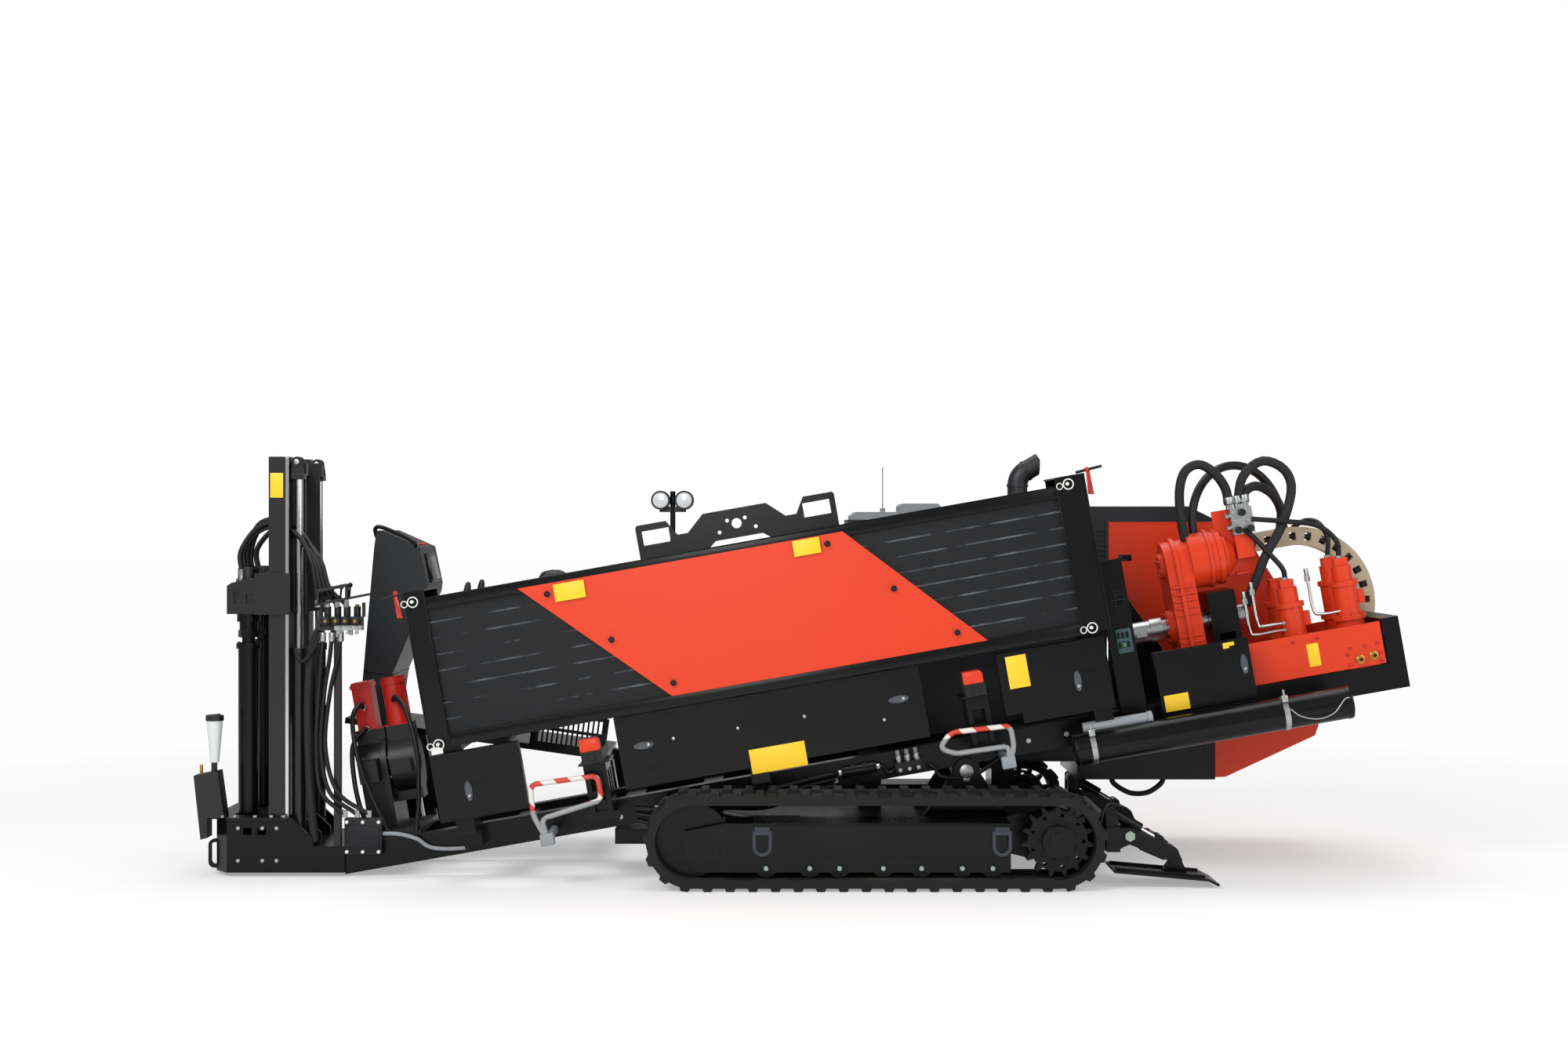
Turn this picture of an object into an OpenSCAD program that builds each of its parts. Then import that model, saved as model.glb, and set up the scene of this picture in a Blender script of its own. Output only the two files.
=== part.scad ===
// Horizontal directional drill on rubber tracks. Front (the drilling end) is at -X, the pipe box is on the -Y side.
// The drill frame is drawn level about its tilt pin and then tilted, so u runs along the frame and w square to it.

/* [Tracks] */
// Overall length of one track
track_len = 2198; // [2000:1:2400]
// Overall height of one track
track_h = 463; // [430:1:500]
// Width of the rubber belt
track_w = 340; // [260:1:380]
// Distance of each track's outer face from the centre plane
track_out = 950; // [900:1:1050]
// Middle of the tracks along the machine
track_x = 342; // [300:1:380]
// Height of the tread lugs
lug_h = 16; // [12:1:24]
// Thickness of the belt under the lugs
belt_t = 40; // [30:1:44]
// Spacing of the tread lugs
lug_pitch = 106; // [90:1:125]

/* [Chassis] */
// Height of the cross box's underside above the ground
cross_z = 150; // [130:1:160]
// Depth of the cross box
cross_h = 125; // [100:1:140]
// Thickness of the pivot ears
ear_t = 30; // [20:1:35]
// Radius of the frame's tilt pin
pin_r = 25; // [18:1:30]

/* [Drill frame] */
// Slope of the drill frame, front end down, in degrees
frame_tilt = 10; // [6:0.5:11]
// Length of the drill frame ahead of the tilt pin
frame_front = 3110; // [3000:1:3200]
// Length of the drill frame behind the tilt pin
frame_rear = 2233; // [2200:1:2300]
// Depth of the frame's rails
rail_h = 130; // [110:1:138]
// Width of each rail
rail_w = 80; // [60:1:90]
// Distance between the centres of the two rails
rail_gauge = 460; // [440:1:480]
// Height of the drilling line above the tilt pin, square to the frame
line_w = 496; // [480:1:510]

/* [Pipe box] */
// Outside length of the pipe box
box_len = 3299; // [3200:1:3340]
// Height of the pipe box
box_h = 705; // [650:1:720]
// Width of the pipe box
box_wide = 420; // [380:1:425]
// Side of the pipe box's square tubes
box_tube = 50; // [40:1:55]

/* [Anchor] */
// Distance between the two anchor shafts
anchor_gap = 310; // [290:1:330]
// Outside diameter of the anchor tubes
anchor_d = 100; // [80:1:110]
// Height of the masts above the anchor base
mast_h = 1781; // [1700:1:1800]
// Side of the square masts
mast_s = 100; // [80:1:105]

/* [Engine] */
// Inner wall of the engine housing, from the centre plane
hood_in = 215; // [205:1:240]
// Outer wall of the engine housing, from the centre plane
hood_out = 925; // [880:1:940]
// Height of the hood's red sides
hood_z = 1748; // [1700:1:1760]
// Sheet thickness of the hood
sheet = 6; // [4:1:8]

/* [Hidden] */
$fn = 48;
piv_x = 806;
piv_z = 523;
y_line = -180;              // the drilling line, across the machine
run = 6;                    // clearance between pieces that move past each other
seat = 0.3;                 // clearance between pieces that only lie against each other
fit = 0.06;                 // radial clearance of a pin in its bore
BLACK = "#1c1d1f";
DARK = "#2b2e31";
RED = "#d8432a";
STEEL = "#b9bcbe";
RUBBER = "#1a1a1a";

module on_frame() {
    translate([piv_x, 0, piv_z]) rotate([0, -frame_tilt, 0]) children();
}
// A box from its lowest to its highest corner
module block(a, b) {
    translate(a) cube([b[0] - a[0], b[1] - a[1], b[2] - a[2]]);
}
module across(r, y0, y1) {
    translate([0, y1, 0]) rotate([90, 0, 0]) cylinder(r = r, h = y1 - y0);
}
module along(r, x0, x1) {
    translate([x0, 0, 0]) rotate([0, 90, 0]) cylinder(r = r, h = x1 - x0);
}
// Extrudes an outline in the X-Z plane from y0 to y1
module plate(y0, y1) {
    translate([0, y1, 0]) rotate([90, 0, 0]) linear_extrude(y1 - y0) children();
}
// Extrudes an outline drawn in the Y-Z plane from x0 to x1
module slab(x0, x1) {
    translate([x0, 0, 0]) rotate([90, 0, 90]) linear_extrude(x1 - x0) children();
}
// Outline of a bar from point a to point b, rounded at both ends
module link(a, ra, b, rb) {
    d = sqrt(pow(b[0] - a[0], 2) + pow(b[1] - a[1], 2));
    n = [-(b[1] - a[1]) / d, (b[0] - a[0]) / d];
    polygon([a + n * ra, b + n * rb, b - n * rb, a - n * ra]);
    translate(a) circle(r = ra);
    translate(b) circle(r = rb);
}
// Outline of an ear of radius r about c that widens to a foot from x0 to x1 at height z
module ear(c, r, x0, x1, z) {
    translate(c) circle(r = r);
    polygon([[c[0] - r, c[1]], [c[0] + r, c[1]], [x1, z], [x0, z]]);
}
// Puts a piece drawn along +X from the origin onto the line from point a to point b
module aim(a, b, y) {
    translate([a[0], y, a[1]]) rotate([0, -atan2(b[1] - a[1], b[0] - a[0]), 0]) children();
}

// Tracks
track_r = track_h / 2;
idler_x = track_x - track_len / 2 + track_r;
sprocket_x = track_x + track_len / 2 - track_r;
track_in = track_out - track_w;
belt_in = track_r - lug_h - belt_t;
module loop_outline(r) {
    translate([idler_x, track_r]) circle(r = r);
    translate([sprocket_x, track_r]) circle(r = r);
    translate([idler_x, track_r - r]) square([straight, 2 * r]);
}
straight = sprocket_x - idler_x;
loop_r = track_r - lug_h;
loop_len = 2 * straight + 2 * PI * loop_r;
n_lugs = floor(loop_len / lug_pitch);
module lug(s) {
    arc = PI * loop_r;
    if (s < straight) translate([idler_x + s, track_h - lug_h - 1]) lug_shape();
    else if (s < straight + arc) translate([sprocket_x, track_r])
        rotate(-(s - straight) / loop_r * 180 / PI) translate([0, loop_r - 1]) lug_shape();
    else if (s < 2 * straight + arc) translate([sprocket_x - (s - straight - arc), lug_h + 1])
        rotate(180) lug_shape();
    else translate([idler_x, track_r])
        rotate(180 - (s - 2 * straight - arc) / loop_r * 180 / PI) translate([0, loop_r - 1]) lug_shape();
}
module lug_shape() {
    polygon([[-26, 0], [26, 0], [18, lug_h + 1], [-18, lug_h + 1]]);
}
module track(side) {
    color(RUBBER) for (half = [0, 1])
        plate(side * (track_in + track_w / 2) + (half - 1) * track_w / 2,
              side * (track_in + track_w / 2) + half * track_w / 2)
            difference() {
                union() {
                    loop_outline(loop_r);
                    for (i = [0 : n_lugs - 1]) lug((i + half / 2) * loop_len / n_lugs);
                }
                loop_outline(belt_in);
            }
}
module running_gear(side) {
    rollers(side);
    n_teeth = 15;
    y0 = side > 0 ? track_out - 120 : -track_out + 60;
    color(BLACK) translate([sprocket_x, 0, track_r]) {
        plate(y0, y0 + 60) difference() {
            union() {
                circle(r = belt_in - 32);
                for (i = [0 : n_teeth - 1]) rotate(i * 360 / n_teeth) translate([0, belt_in - 33])
                    polygon([[-14, 0], [14, 0], [7, 30], [-7, 30]]);
            }
            for (i = [0 : 8]) rotate(i * 40) translate([belt_in - 52, 0]) circle(r = 9);
        }
        for (i = [0 : 8]) rotate([0, i * 40 + 20, 0]) translate([belt_in - 82, 0, 0])
            across(9, side > 0 ? y0 + 59 : y0 - 10, side > 0 ? y0 + 70 : y0 + 1);
        across(76, side > 0 ? y0 + 60 : y0 - 40, side > 0 ? y0 + 100 : y0);
        across(45, side > 0 ? y0 + 100 : y0 - 52, side > 0 ? y0 + 112 : y0 - 40);
        across(110, side > 0 ? track_in - 8 : y0 + 60, side > 0 ? y0 : -track_in + 8);
    }
}
// Places of the rollers as shares of the track's straight stretch
roller_x = [for (share = [0.2014, 0.3208, 0.402, 0.5213, 0.6257, 0.7369, 0.8199]) idler_x + share * straight];
roller_r = 52;
beam_y = 130;               // half the distance over a track beam's side walls
track_mid = track_in + track_w / 2;
module rollers(side) {
    color(DARK) for (x = roller_x)
        translate([x, side * track_mid, lug_h + belt_t + roller_r + seat]) {
            across(roller_r, -beam_y + 26, -30);
            across(roller_r, 30, beam_y - 26);
            across(18, -beam_y, beam_y);
            for (d = [-1, 1]) {
                translate([0, d * (beam_y + 2), 0]) across(26, -2, 2);
                translate([0, d * (beam_y + 9), 0]) rotate([0, 30, 0]) across(19, -6, 6, $fn = 6);
            }
        }
    color(DARK) translate([idler_x, side * track_mid, track_r]) {
        across(belt_in - seat, -70, 70);
        across(24, -beam_y, beam_y);
    }
}
beam_z0 = 86;
beam_z1 = 318;
beam_x0 = idler_x - 40;
beam_x1 = sprocket_x - 225;
module track_frame(side) {
    color(BLACK) {
        for (s = [-1, 1]) difference() {
            union() {
                plate(side * track_mid + s * (beam_y - 10) - 10, side * track_mid + s * (beam_y - 10) + 10)
                    polygon([[beam_x0, beam_z0 + 75], [beam_x0 + 60, beam_z0], [beam_x1, beam_z0],
                        [beam_x1, beam_z1], [beam_x0 + 200, beam_z1], [beam_x0, beam_z1 - 40]]);
            }
            for (x = roller_x) translate([x, side * track_mid, lug_h + belt_t + roller_r + seat])
                across(18.1, -200, 200);
            translate([idler_x, side * track_mid, track_r]) across(24.1, -200, 200);
        }
        plate(side * (track_mid + beam_y + 2) - 3, side * (track_mid + beam_y + 2) + 3) {
            polygon([[beam_x0 + 210, 158], [beam_x1 - 16, 158], [beam_x1 - 16, beam_z1 - 8], [beam_x0 + 330, beam_z1 - 8],
                [beam_x0 + 210, beam_z1 - 30]]);
            translate([beam_x0 + 74, 128]) square([96, 112]);
        }
        block([beam_x0 + 330, side * track_mid - beam_y + 20, beam_z1 - 40],
              [beam_x1, side * track_mid + beam_y - 20, beam_z1]);
        difference() {
            plate(side * (track_mid - beam_y + 10) - 10, side * (track_mid - beam_y + 10) + 10)
                link([beam_x1 - 30, track_r], 80, [sprocket_x, track_r], 138);
            translate([sprocket_x, 0, track_r]) across(110 + seat, -1000, 1000);
        }
    }
    // Tie-down rings on the outer wall
    ring_y = side * (track_mid + beam_y + 9);
    color(DARK) for (x = [roller_x[0] - 18, roller_x[6] + 45]) translate([x, ring_y, 250]) {
        difference() {
            plate(-8, 8) {
                union() {
                    translate([0, -40]) circle(r = 46);
                    translate([-46, -40]) square([92, 75]);
                }
            }
            plate(-9, 9) {
                translate([0, -40]) circle(r = 30);
                translate([-30, -40]) square([60, 55]);
            }
        }
        block([-34, side > 0 ? -9 : -6, 22], [34, side > 0 ? 6 : 9, 52]);
    }
}

// Chassis
cross_x0 = -600;
cross_x1 = 1150;
cross_z1 = cross_z + cross_h;
rail_y = [y_line - 30 - rail_gauge / 2, y_line - 30 + rail_gauge / 2];
rail_w0 = 26;
rail_w1 = rail_w0 + rail_h;
rail_near = rail_y[0] - rail_w / 2;
rail_far = rail_y[1] + rail_w / 2;
ear_y = [rail_near - run - ear_t, rail_far + run];
tilt_foot = [-60, 200];
tilt_eye = [-723, 332];
tilt_len = sqrt(pow(tilt_eye[0] - tilt_foot[0], 2) + pow(tilt_eye[1] - tilt_foot[1], 2));
tilt_y = -350;
module chassis() {
    color(BLACK) {
        difference() {
            union() {
                block([cross_x0, -track_in + 30, cross_z], [cross_x1, track_in - 30, cross_z1]);
                block([cross_x0 - 330, -420, cross_z], [cross_x0 + 1, 0, cross_z + 75]);
            }
            block([cross_x0 + 60, tilt_y - 50, cross_z - 1], [-10, tilt_y + 50, cross_z1 + 1]);
            block([cross_x0 - 1, tilt_y - 50, cross_z + 75], [cross_x0 + 61, tilt_y + 50, cross_z1 + 1]);
        }
        translate([tilt_foot[0], 0, tilt_foot[1]]) across(16, tilt_y - 51, tilt_y + 51);
        for (x = [-60, 480, beam_x1 - 154.5]) for (s = [-1, 1])
            block([x, s > 0 ? track_in - 31 : -track_mid + beam_y, cross_z + 10],
                  [x + 150, s > 0 ? track_mid - beam_y : -track_in + 31, cross_z1 - 10]);
        for (y = ear_y) difference() {
            plate(y, y + ear_t) ear([piv_x, piv_z], 62, piv_x - 230, piv_x + 230, cross_z1 - 2);
            translate([piv_x, 0, piv_z]) across(pin_r - 2, y - 1, y + ear_t + 1);
        }
        translate([piv_x, 0, piv_z]) across(pin_r, ear_y[0] - 6, ear_y[1] + ear_t + 6);
        // Rear spine and the cross tube that carries the stabilizers
        block([cross_x1 - 1, -track_in + 60, cross_z], [tube_x + 1, track_in - 60, cross_z1]);
        block([tube_x, -stab_y - 90, tube_z], [tube_x + 66, stab_y + 90, tube_z + 120]);
        for (s = [-1, 1]) for (d = [-75, 55]) stab_ear(s * stab_y + d);
        for (x = [300, 1000]) block([x, hood_in + 15, cross_z1 - 1], [x + 120, track_in - 50, base_z]);
        // Foot of the lamp post
        block([-700, 235, cross_z1 - 60], [cross_x0 + 1, 265, cross_z1 - 20]);
    }
}
tube_x = track_x + track_len / 2 + 15;
tube_z = 165;
stab_y = 700;
stab_pin = [tube_x + 113, 240];
stab_top = [tube_x + 24, 352];
foot_pin = [tube_x + 344, 118];
arm_eye = [tube_x + 259, 215];
stab_len = sqrt(pow(arm_eye[0] - stab_top[0], 2) + pow(arm_eye[1] - stab_top[1], 2));
module stab_ear(y) {
    plate(y, y + 20) difference() {
        union() {
            link(stab_pin, 38, [tube_x + 50, tube_z + 60], 50);
            ear(stab_top, 28, tube_x + 1, tube_x + 78, tube_z + 60);
        }
        translate(stab_pin) circle(r = 20 + fit);
        translate(stab_top) circle(r = 14 + fit);
        translate([tube_x - 60, 0]) square([59, 600]);
    }
}
module stabilizer(s) {
    knee = [foot_pin[0] - 25, foot_pin[1] + 32];
    color(BLACK) {
        difference() {
            union() {
                for (d = [-48, 30]) plate(s * stab_y + d, s * stab_y + d + 18) {
                    link(stab_pin, 40, knee, 36);
                    link(knee, 36, foot_pin, 26);
                    link(arm_eye, 26, [arm_eye[0] - 15, arm_eye[1] - 45], 28);
                }
                plate(s * stab_y - 31, s * stab_y + 31)
                    polygon([[tube_x + 174, 178], [tube_x + 289, 128], [tube_x + 286, 116], [tube_x + 170, 166]]);
            }
            translate([foot_pin[0], 0, foot_pin[1]]) across(14 + fit, s * stab_y - 60, s * stab_y + 60);
        }
        translate([stab_pin[0], 0, stab_pin[1]]) across(20, s * stab_y - 80, s * stab_y + 80);
        translate([arm_eye[0], 0, arm_eye[1]]) across(10, s * stab_y - 47, s * stab_y + 47);
    }
}
module foot_barrel(s) {
    color(BLACK) aim(stab_top, arm_eye, s * stab_y) {
        across(14, -80, 80);
        difference() {
            union() {
                across(26, -28, 28);
                along(28, 15, 175);
            }
            along(14 + fit, 40, 176);
        }
    }
}
module foot_rod(s) {
    color(STEEL) aim(stab_top, arm_eye, s * stab_y) difference() {
        union() {
            along(14, 92, stab_len - 18);
            translate([stab_len, 0, 0]) across(24, -22, 22);
        }
        translate([stab_len, 0, 0]) across(14, -23, 23);
    }
}
module foot(s) {
    color(BLACK) translate([foot_pin[0], s * stab_y, foot_pin[1]]) rotate([0, 5, 0]) {
        across(14, -48, 48);
        plate(-22, 22) hull() {
            circle(r = 24, $fn = 32);
            translate([-60, -62]) square([120, 4]);
        }
        block([-310, -150, -72], [140, 150, -60]);
        plate(-150, 150) polygon([[140, -72], [190, -92], [196, -82], [140, -60]]);
        for (y = [-110, 90]) block([-300, y, -60], [130, y + 20, -50]);
    }
}

// Engine housing
base_z = 395;
hood_x0 = 244;
hood_x1 = 2650;
cowl_x = 1510;
// Front of the housing's deep part, behind the tracks
deep_x = track_x + track_len / 2 + 9;
module engine() {
    color("#3a3d40") block([420, hood_in + 115, base_z + 107 + seat], [1350, hood_out - 125, 1250]);
}
module engine_base() {
    color(BLACK) {
        block([hood_x0, hood_in, base_z + 95], [deep_x, hood_out, base_z + 107]);
        difference() {
            block([deep_x, hood_in, base_z], [2175, hood_out, 900]);
            block([deep_x + sheet, hood_in + sheet, base_z + sheet], [2175 - sheet, hood_out - sheet, 901]);
        }
        for (x = [300, 1000]) block([x, hood_in + 15, base_z], [x + 120, track_in - 50, base_z + 95]);
        plate(hood_in, hood_in + sheet)
            polygon([[1613, 899], [1899, 899], [1899, 1079], [1613, 1497]]);
    }
}
rear_low = [[2175, 407], [2229, 409], [2700, 627], [2718, 680], [2743, 914], [2743, 1050]];
module hood() {
    outline = concat(rear_low, [[2290, hood_z], [1613, hood_z], [1613, 1500], [1900, 1080], [1900, 901], [2175, 901]]);
    color(RED) difference() {
        plate(hood_in, hood_out) polygon(outline);
        plate(hood_in + sheet, hood_out - sheet) offset(delta = -sheet) polygon(outline);
        block([1500, hood_in + sheet, 880], [1900 + sheet + 1, hood_out - sheet, hood_z - sheet]);
    }
}
module hood_roof() {
    color(DARK) plate(hood_in, hood_out)
        polygon([[244, hood_z + seat], [2201, hood_z + seat], [2033, hood_z + 82], [1500, hood_z + 82], [1260, hood_z + 66],
            [1040, hood_z + 66], [900, hood_z + 12], [244, hood_z + 12]]);
}
module roof_boxes() {
    z = hood_z + 12 + seat;
    color("#8b9093") {
        plate(300, 760) polygon([[262, z], [523, z], [523, 1801], [290, 1801], [262, 1780]]);
        plate(300, 760) polygon([[525, z], [740, z], [740, 1832], [724, 1846], [540, 1846], [525, 1832]]);
        block([520, 320, z], [530, 740, 1795]);
        translate([436, 420, 1800]) cylinder(r = 14, h = 22);
    }
    color(BLACK) translate([436, 420, 1822 - 1]) cylinder(r = 3, h = 220);
}
module front_cowl() {
    color(DARK) {
        difference() {
            block([hood_x0, hood_in, base_z + 107 + seat], [1612, hood_out - 20, hood_z]);
            block([hood_x0 + sheet, hood_in + sheet, base_z + 100], [1613, hood_out, hood_z - sheet]);
            block([deep_x - seat, hood_in - 1, base_z], [1613, hood_out, 900 + seat]);
            block([1606, hood_in - 1, base_z], [1613, hood_out, 1500]);
            // Air slots in the front wall
            for (z = [620 : 60 : 1520]) block([hood_x0 - 1, hood_in + 85, z], [hood_x0 + 7, hood_out - 105, z + 28]);
        }
        // Louvres ahead of the red hood
        for (z = [1520 : 26 : 1720]) plate(hood_in - 10, hood_in + 1)
            polygon([[1440, z], [1606, z], [1606, z + 8], [1440, z + 8]]);
        for (x = [1436, 1596]) block([x, hood_in - 12, 1500], [x + 14, hood_in + 1, hood_z - 2]);
        block([hood_x0 + sheet - 1, hood_out - 45, hood_z - 48], [1440, hood_out - 20, hood_z - sheet + 1]);
    }
}
module hood_door() {
    y = hood_out - 20 + seat;
    color(RED) difference() {
        union() {
            block([244, y, 520], [1440, hood_out + 5, hood_z - run]);
            for (x = [420, 1200]) block([x, hood_out - 1, 640], [x + 90, hood_out + 12, 668]);
            for (x = [340, 860, 1280]) translate([0, hood_out + 5, hood_z - run]) along(5, x, x + 80);
        }
        block([250, y - 1, 530], [1434, hood_out, hood_z - run - 10]);
        for (z = [1180 : 60 : 1540]) block([560, y, z], [1120, hood_out + 6, z + 26]);
    }
}
module exhaust() {
    bend = 92;
    rise = 130;
    turn = 60;
    tip = [bend * (1 - cos(turn)), 0, rise + bend * sin(turn)];
    color("#303234") translate([1168, 520, hood_z + 66 + seat]) {
        cylinder(r = 54, h = rise);
        translate([bend, 0, rise]) rotate([90, 0, 0]) rotate([0, 0, 180 - turn])
            rotate_extrude(angle = turn) translate([bend, 0]) circle(r = 54);
        difference() {
            translate(tip) rotate([0, turn, 0]) cylinder(r = 54, h = 90);
            translate(tip) rotate([0, turn, 0]) translate([0, 0, 12]) cylinder(r = 49, h = 90);
            translate([116, -100, rise]) cube([200, 200, 400]);
        }
        // Clamp bands over the two butt joints
        translate([0, 0, rise - 8]) cylinder(r = 58, h = 16);
        translate(tip) rotate([0, turn, 0]) translate([0, 0, -5]) cylinder(r = 58, h = 10);
    }
}

// Tilt cylinder, from the cross box to the drill frame
module tilt_barrel() {
    color(BLACK) aim(tilt_foot, tilt_eye, tilt_y) difference() {
        union() {
            across(34, -30, 30);
            along(40, 20, 430);
        }
        across(16 + fit, -31, 31);
        along(20 + fit, 60, 431);
    }
}
module tilt_rod() {
    color(STEEL) aim(tilt_foot, tilt_eye, tilt_y) difference() {
        union() {
            along(20, 90, tilt_len - 26);
            translate([tilt_len, 0, 0]) across(36, -25, 25);
        }
        translate([tilt_len, 0, 0]) across(20, -26, 26);
    }
}

// Drill frame
function front_x(u, w) = piv_x + u * cos(frame_tilt) - w * sin(frame_tilt);
function front_z(u, w) = piv_z + u * sin(frame_tilt) + w * cos(frame_tilt);
base_rear = front_x(-frame_front, 0);
module outrigger(u) {
    block([u, -600, 60], [u + 90, rail_near - 7, 210]);
    block([u, -490, 60], [u + 90, rail_near, 150]);
    block([u, -740, 140], [u + 90, -599, 210]);
    block([u, -740, 209], [u + 90, -670, box_w0 - seat]);
    block([u, -671, box_w0 - 40], [u + 90, box_y1 - 2, box_w0 - seat]);
    block([u, -820, box_w0 - 7], [u + 90, -739, box_w0 - seat]);
}
module shuttle_guide(u) {
    block([u, -500, 60], [u + 110, rail_near, 150]);
    difference() {
        block([u, -740, 100], [u + 110, rail_near - 7, 379.7]);
        for (y = [-700, -600]) block([u - 1, y, 190], [u + 111, y + 70, 330]);
        for (w = [140, 240]) block([u + 25, -741, w], [u + 85, -700, w + 70]);
    }
    block([u - 20, -750, 372], [u + 130, -480, 379.7]);
    block([u - 30, -742, 100], [u + 140, -730, 130]);
}
module frame_rails() {
    color(BLACK) {
        difference() {
            on_frame() {
                for (y = rail_y) block([-frame_front - 60, y - rail_w / 2, rail_w0], [frame_rear, y + rail_w / 2, rail_w1]);
                for (u = [-2900, -2250, -1700, -1300, -500, 250, 1000, 1750, 2150])
                    block([u, rail_y[0] + rail_w / 2 - 1, rail_w0 + 10], [u + 100, rail_y[1] - rail_w / 2 + 1, rail_w1 - 20]);
                difference() {
                    for (y = rail_y) block([-70, y - rail_w / 2, -60], [70, y + rail_w / 2, rail_w0 + 1]);
                    across(pin_r + fit, -900, 900);
                }
                // Brackets of the operator's station
                for (u = [-2900, -1860]) block([u, rail_far - 1, rail_w0], [u + 80, 860, 80]);
                // Trough of the hose carrier
                block([-1300, rail_far - 1, rail_w0 + 54], [2250, rail_far + 125, rail_w0 + 60]);
                block([2148, rail_near, rail_w1 - 1], [frame_rear, rail_far, 380]);
                // Valve chest behind the rear door, and the brackets of the tool tube
                block([1000, -556, 60], [1440, rail_near - 7, 400]);
                block([1000, -500, 60], [1440, rail_near + 1, 140]);
                block([987, -616, 60], [1455, -555, 112]);
                for (u = [760, 1500]) block([u, -663, 20], [u + 40, rail_near + 1, 60]);
                // Ear of the tilt cylinder
                block([-1620, -300, rail_w0], [-1460, -280, 140]);
                block([-1700, -300, rail_w0], [-1600, -280, 136]);
            }
            translate([-4000, -1000, -500]) cube([4000 + base_rear, 2000, 1500]);
        }
        translate([tilt_eye[0], 0, tilt_eye[1]]) across(14, -401, -280);
    }
}
// Near-side supports of the pipe box, guides of the pipe shuttles, and the rear control post
module outriggers() {
    color(BLACK) on_frame() {
        for (u = [-2480, -1040, 640]) outrigger(u);
        for (u = [-1830, 40]) shuttle_guide(u);
        block([800, -520, 60], [930, rail_near, 150]);
        plate(-520, -487) difference() {
            translate([800, 60]) square([130, 840]);
            for (a = [-20 : 10 : 20]) translate([865 - 24, 700 + a]) square([48, 5]);
            translate([845, 440]) square([60, 110]);
        }
    }
}
base_x0 = base_rear - 650;
auger_x = base_x0 + 137;
mast_x = base_x0 + 317;
rod_x = mast_x + 90;
base_z0 = 20;
base_z1 = 290;
base_y = 320;
module anchor_base() {
    bx = base_x0 + 372;
    deck = 150;
    y0 = y_line - base_y;
    y1 = y_line + base_y;
    color(BLACK) {
        difference() {
            union() {
                translate([0, 0, base_z0]) linear_extrude(base_z1 - base_z0)
                    polygon([[base_x0 + 70, y0], [base_x0, y0 + 80], [base_x0, y1 - 80], [base_x0 + 70, y1], [bx, y1], [bx, y0]]);
                block([bx - 1, y0, base_z0], [base_rear, y1, deck]);
                for (y = [y0, y_line - 120, y_line + 104, y1 - 16]) plate(y, y + 16)
                    polygon([[bx - 1, base_z1], [bx + 14, base_z1], [bx + 120, deck + 40], [bx + 120, deck - 1], [bx - 1, deck - 1]]);
                // Flange round the top
                block([base_x0 - 22, y0 + 60, base_z1 - 14], [bx, y1 - 60, base_z1]);
                block([base_x0 + 66, y0 - 10, base_z1 - 14], [bx, y1 + 10, base_z1]);
            }
            block([base_x0 + 16, y0 + 90, base_z0 - 1], [base_x0 + 75, y1 - 90, base_z1 - 20]);
            block([base_x0 + 74, y0 + 16, base_z0 - 1], [bx - 16, y1 - 16, base_z1 - 20]);
            block([bx + 1, y0 + 16, base_z0 + 16], [base_rear - 16, y1 - 16, deck - 14]);
            for (s = [-1, 1]) translate([auger_x, y_line + s * anchor_gap / 2, base_z1 - 30]) cylinder(d = anchor_d + 30, h = 80);
            for (y = [y0, y1]) for (x = [base_x0 + 150, base_x0 + 220]) block([x, y - 20, 205], [x + 44, y + 20, 240]);
        }
        for (s = [-1, 1]) plate(y_line + s * 225 - 14, y_line + s * 225 + 14) difference() {
            union() {
                link([base_x0 - 12, 145], 30, [base_x0 - 12, 62], 30);
                polygon([[base_x0 - 12, 175], [base_x0 + 30, 175], [base_x0 + 30, 32], [base_x0 - 12, 32]]);
            }
            link([base_x0 - 12, 140], 18, [base_x0 - 12, 68], 18);
            translate([base_x0 - 13, 50]) square([13, 108]);
        }
    }
}
// Control box and grease pot on the front of the base
module anchor_box() {
    x = base_x0 - 94;
    color(BLACK) {
        plate(-500, -400) polygon([[x, 497], [x + 118, 520], [x + 150, base_z1 + seat], [x + 66, base_z1 + seat], [x + 66, 190], [x + 34, 182]]);
        block([x + 80, -470, 500], [x + 100, -430, 560]);
        translate([x + 92, -450, 765]) cylinder(r = 44, h = 26);
        translate([x + 50, -450, 788]) rotate([0, 84, 0]) cylinder(r = 5, h = 70);
    }
    color("#c9a14a") translate([x + 26, -450, 500]) cylinder(r = 8, h = 46);
    color("#d8dcdd") translate([x + 92, -450, 559]) rotate_extrude() polygon([[0, 0], [22, 0], [40, 206], [0, 206]]);
}
mast_y = [y_line - anchor_gap / 2 - 75, y_line + anchor_gap / 2 + 75];
mast_back = mast_x + mast_s / 2;
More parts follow.
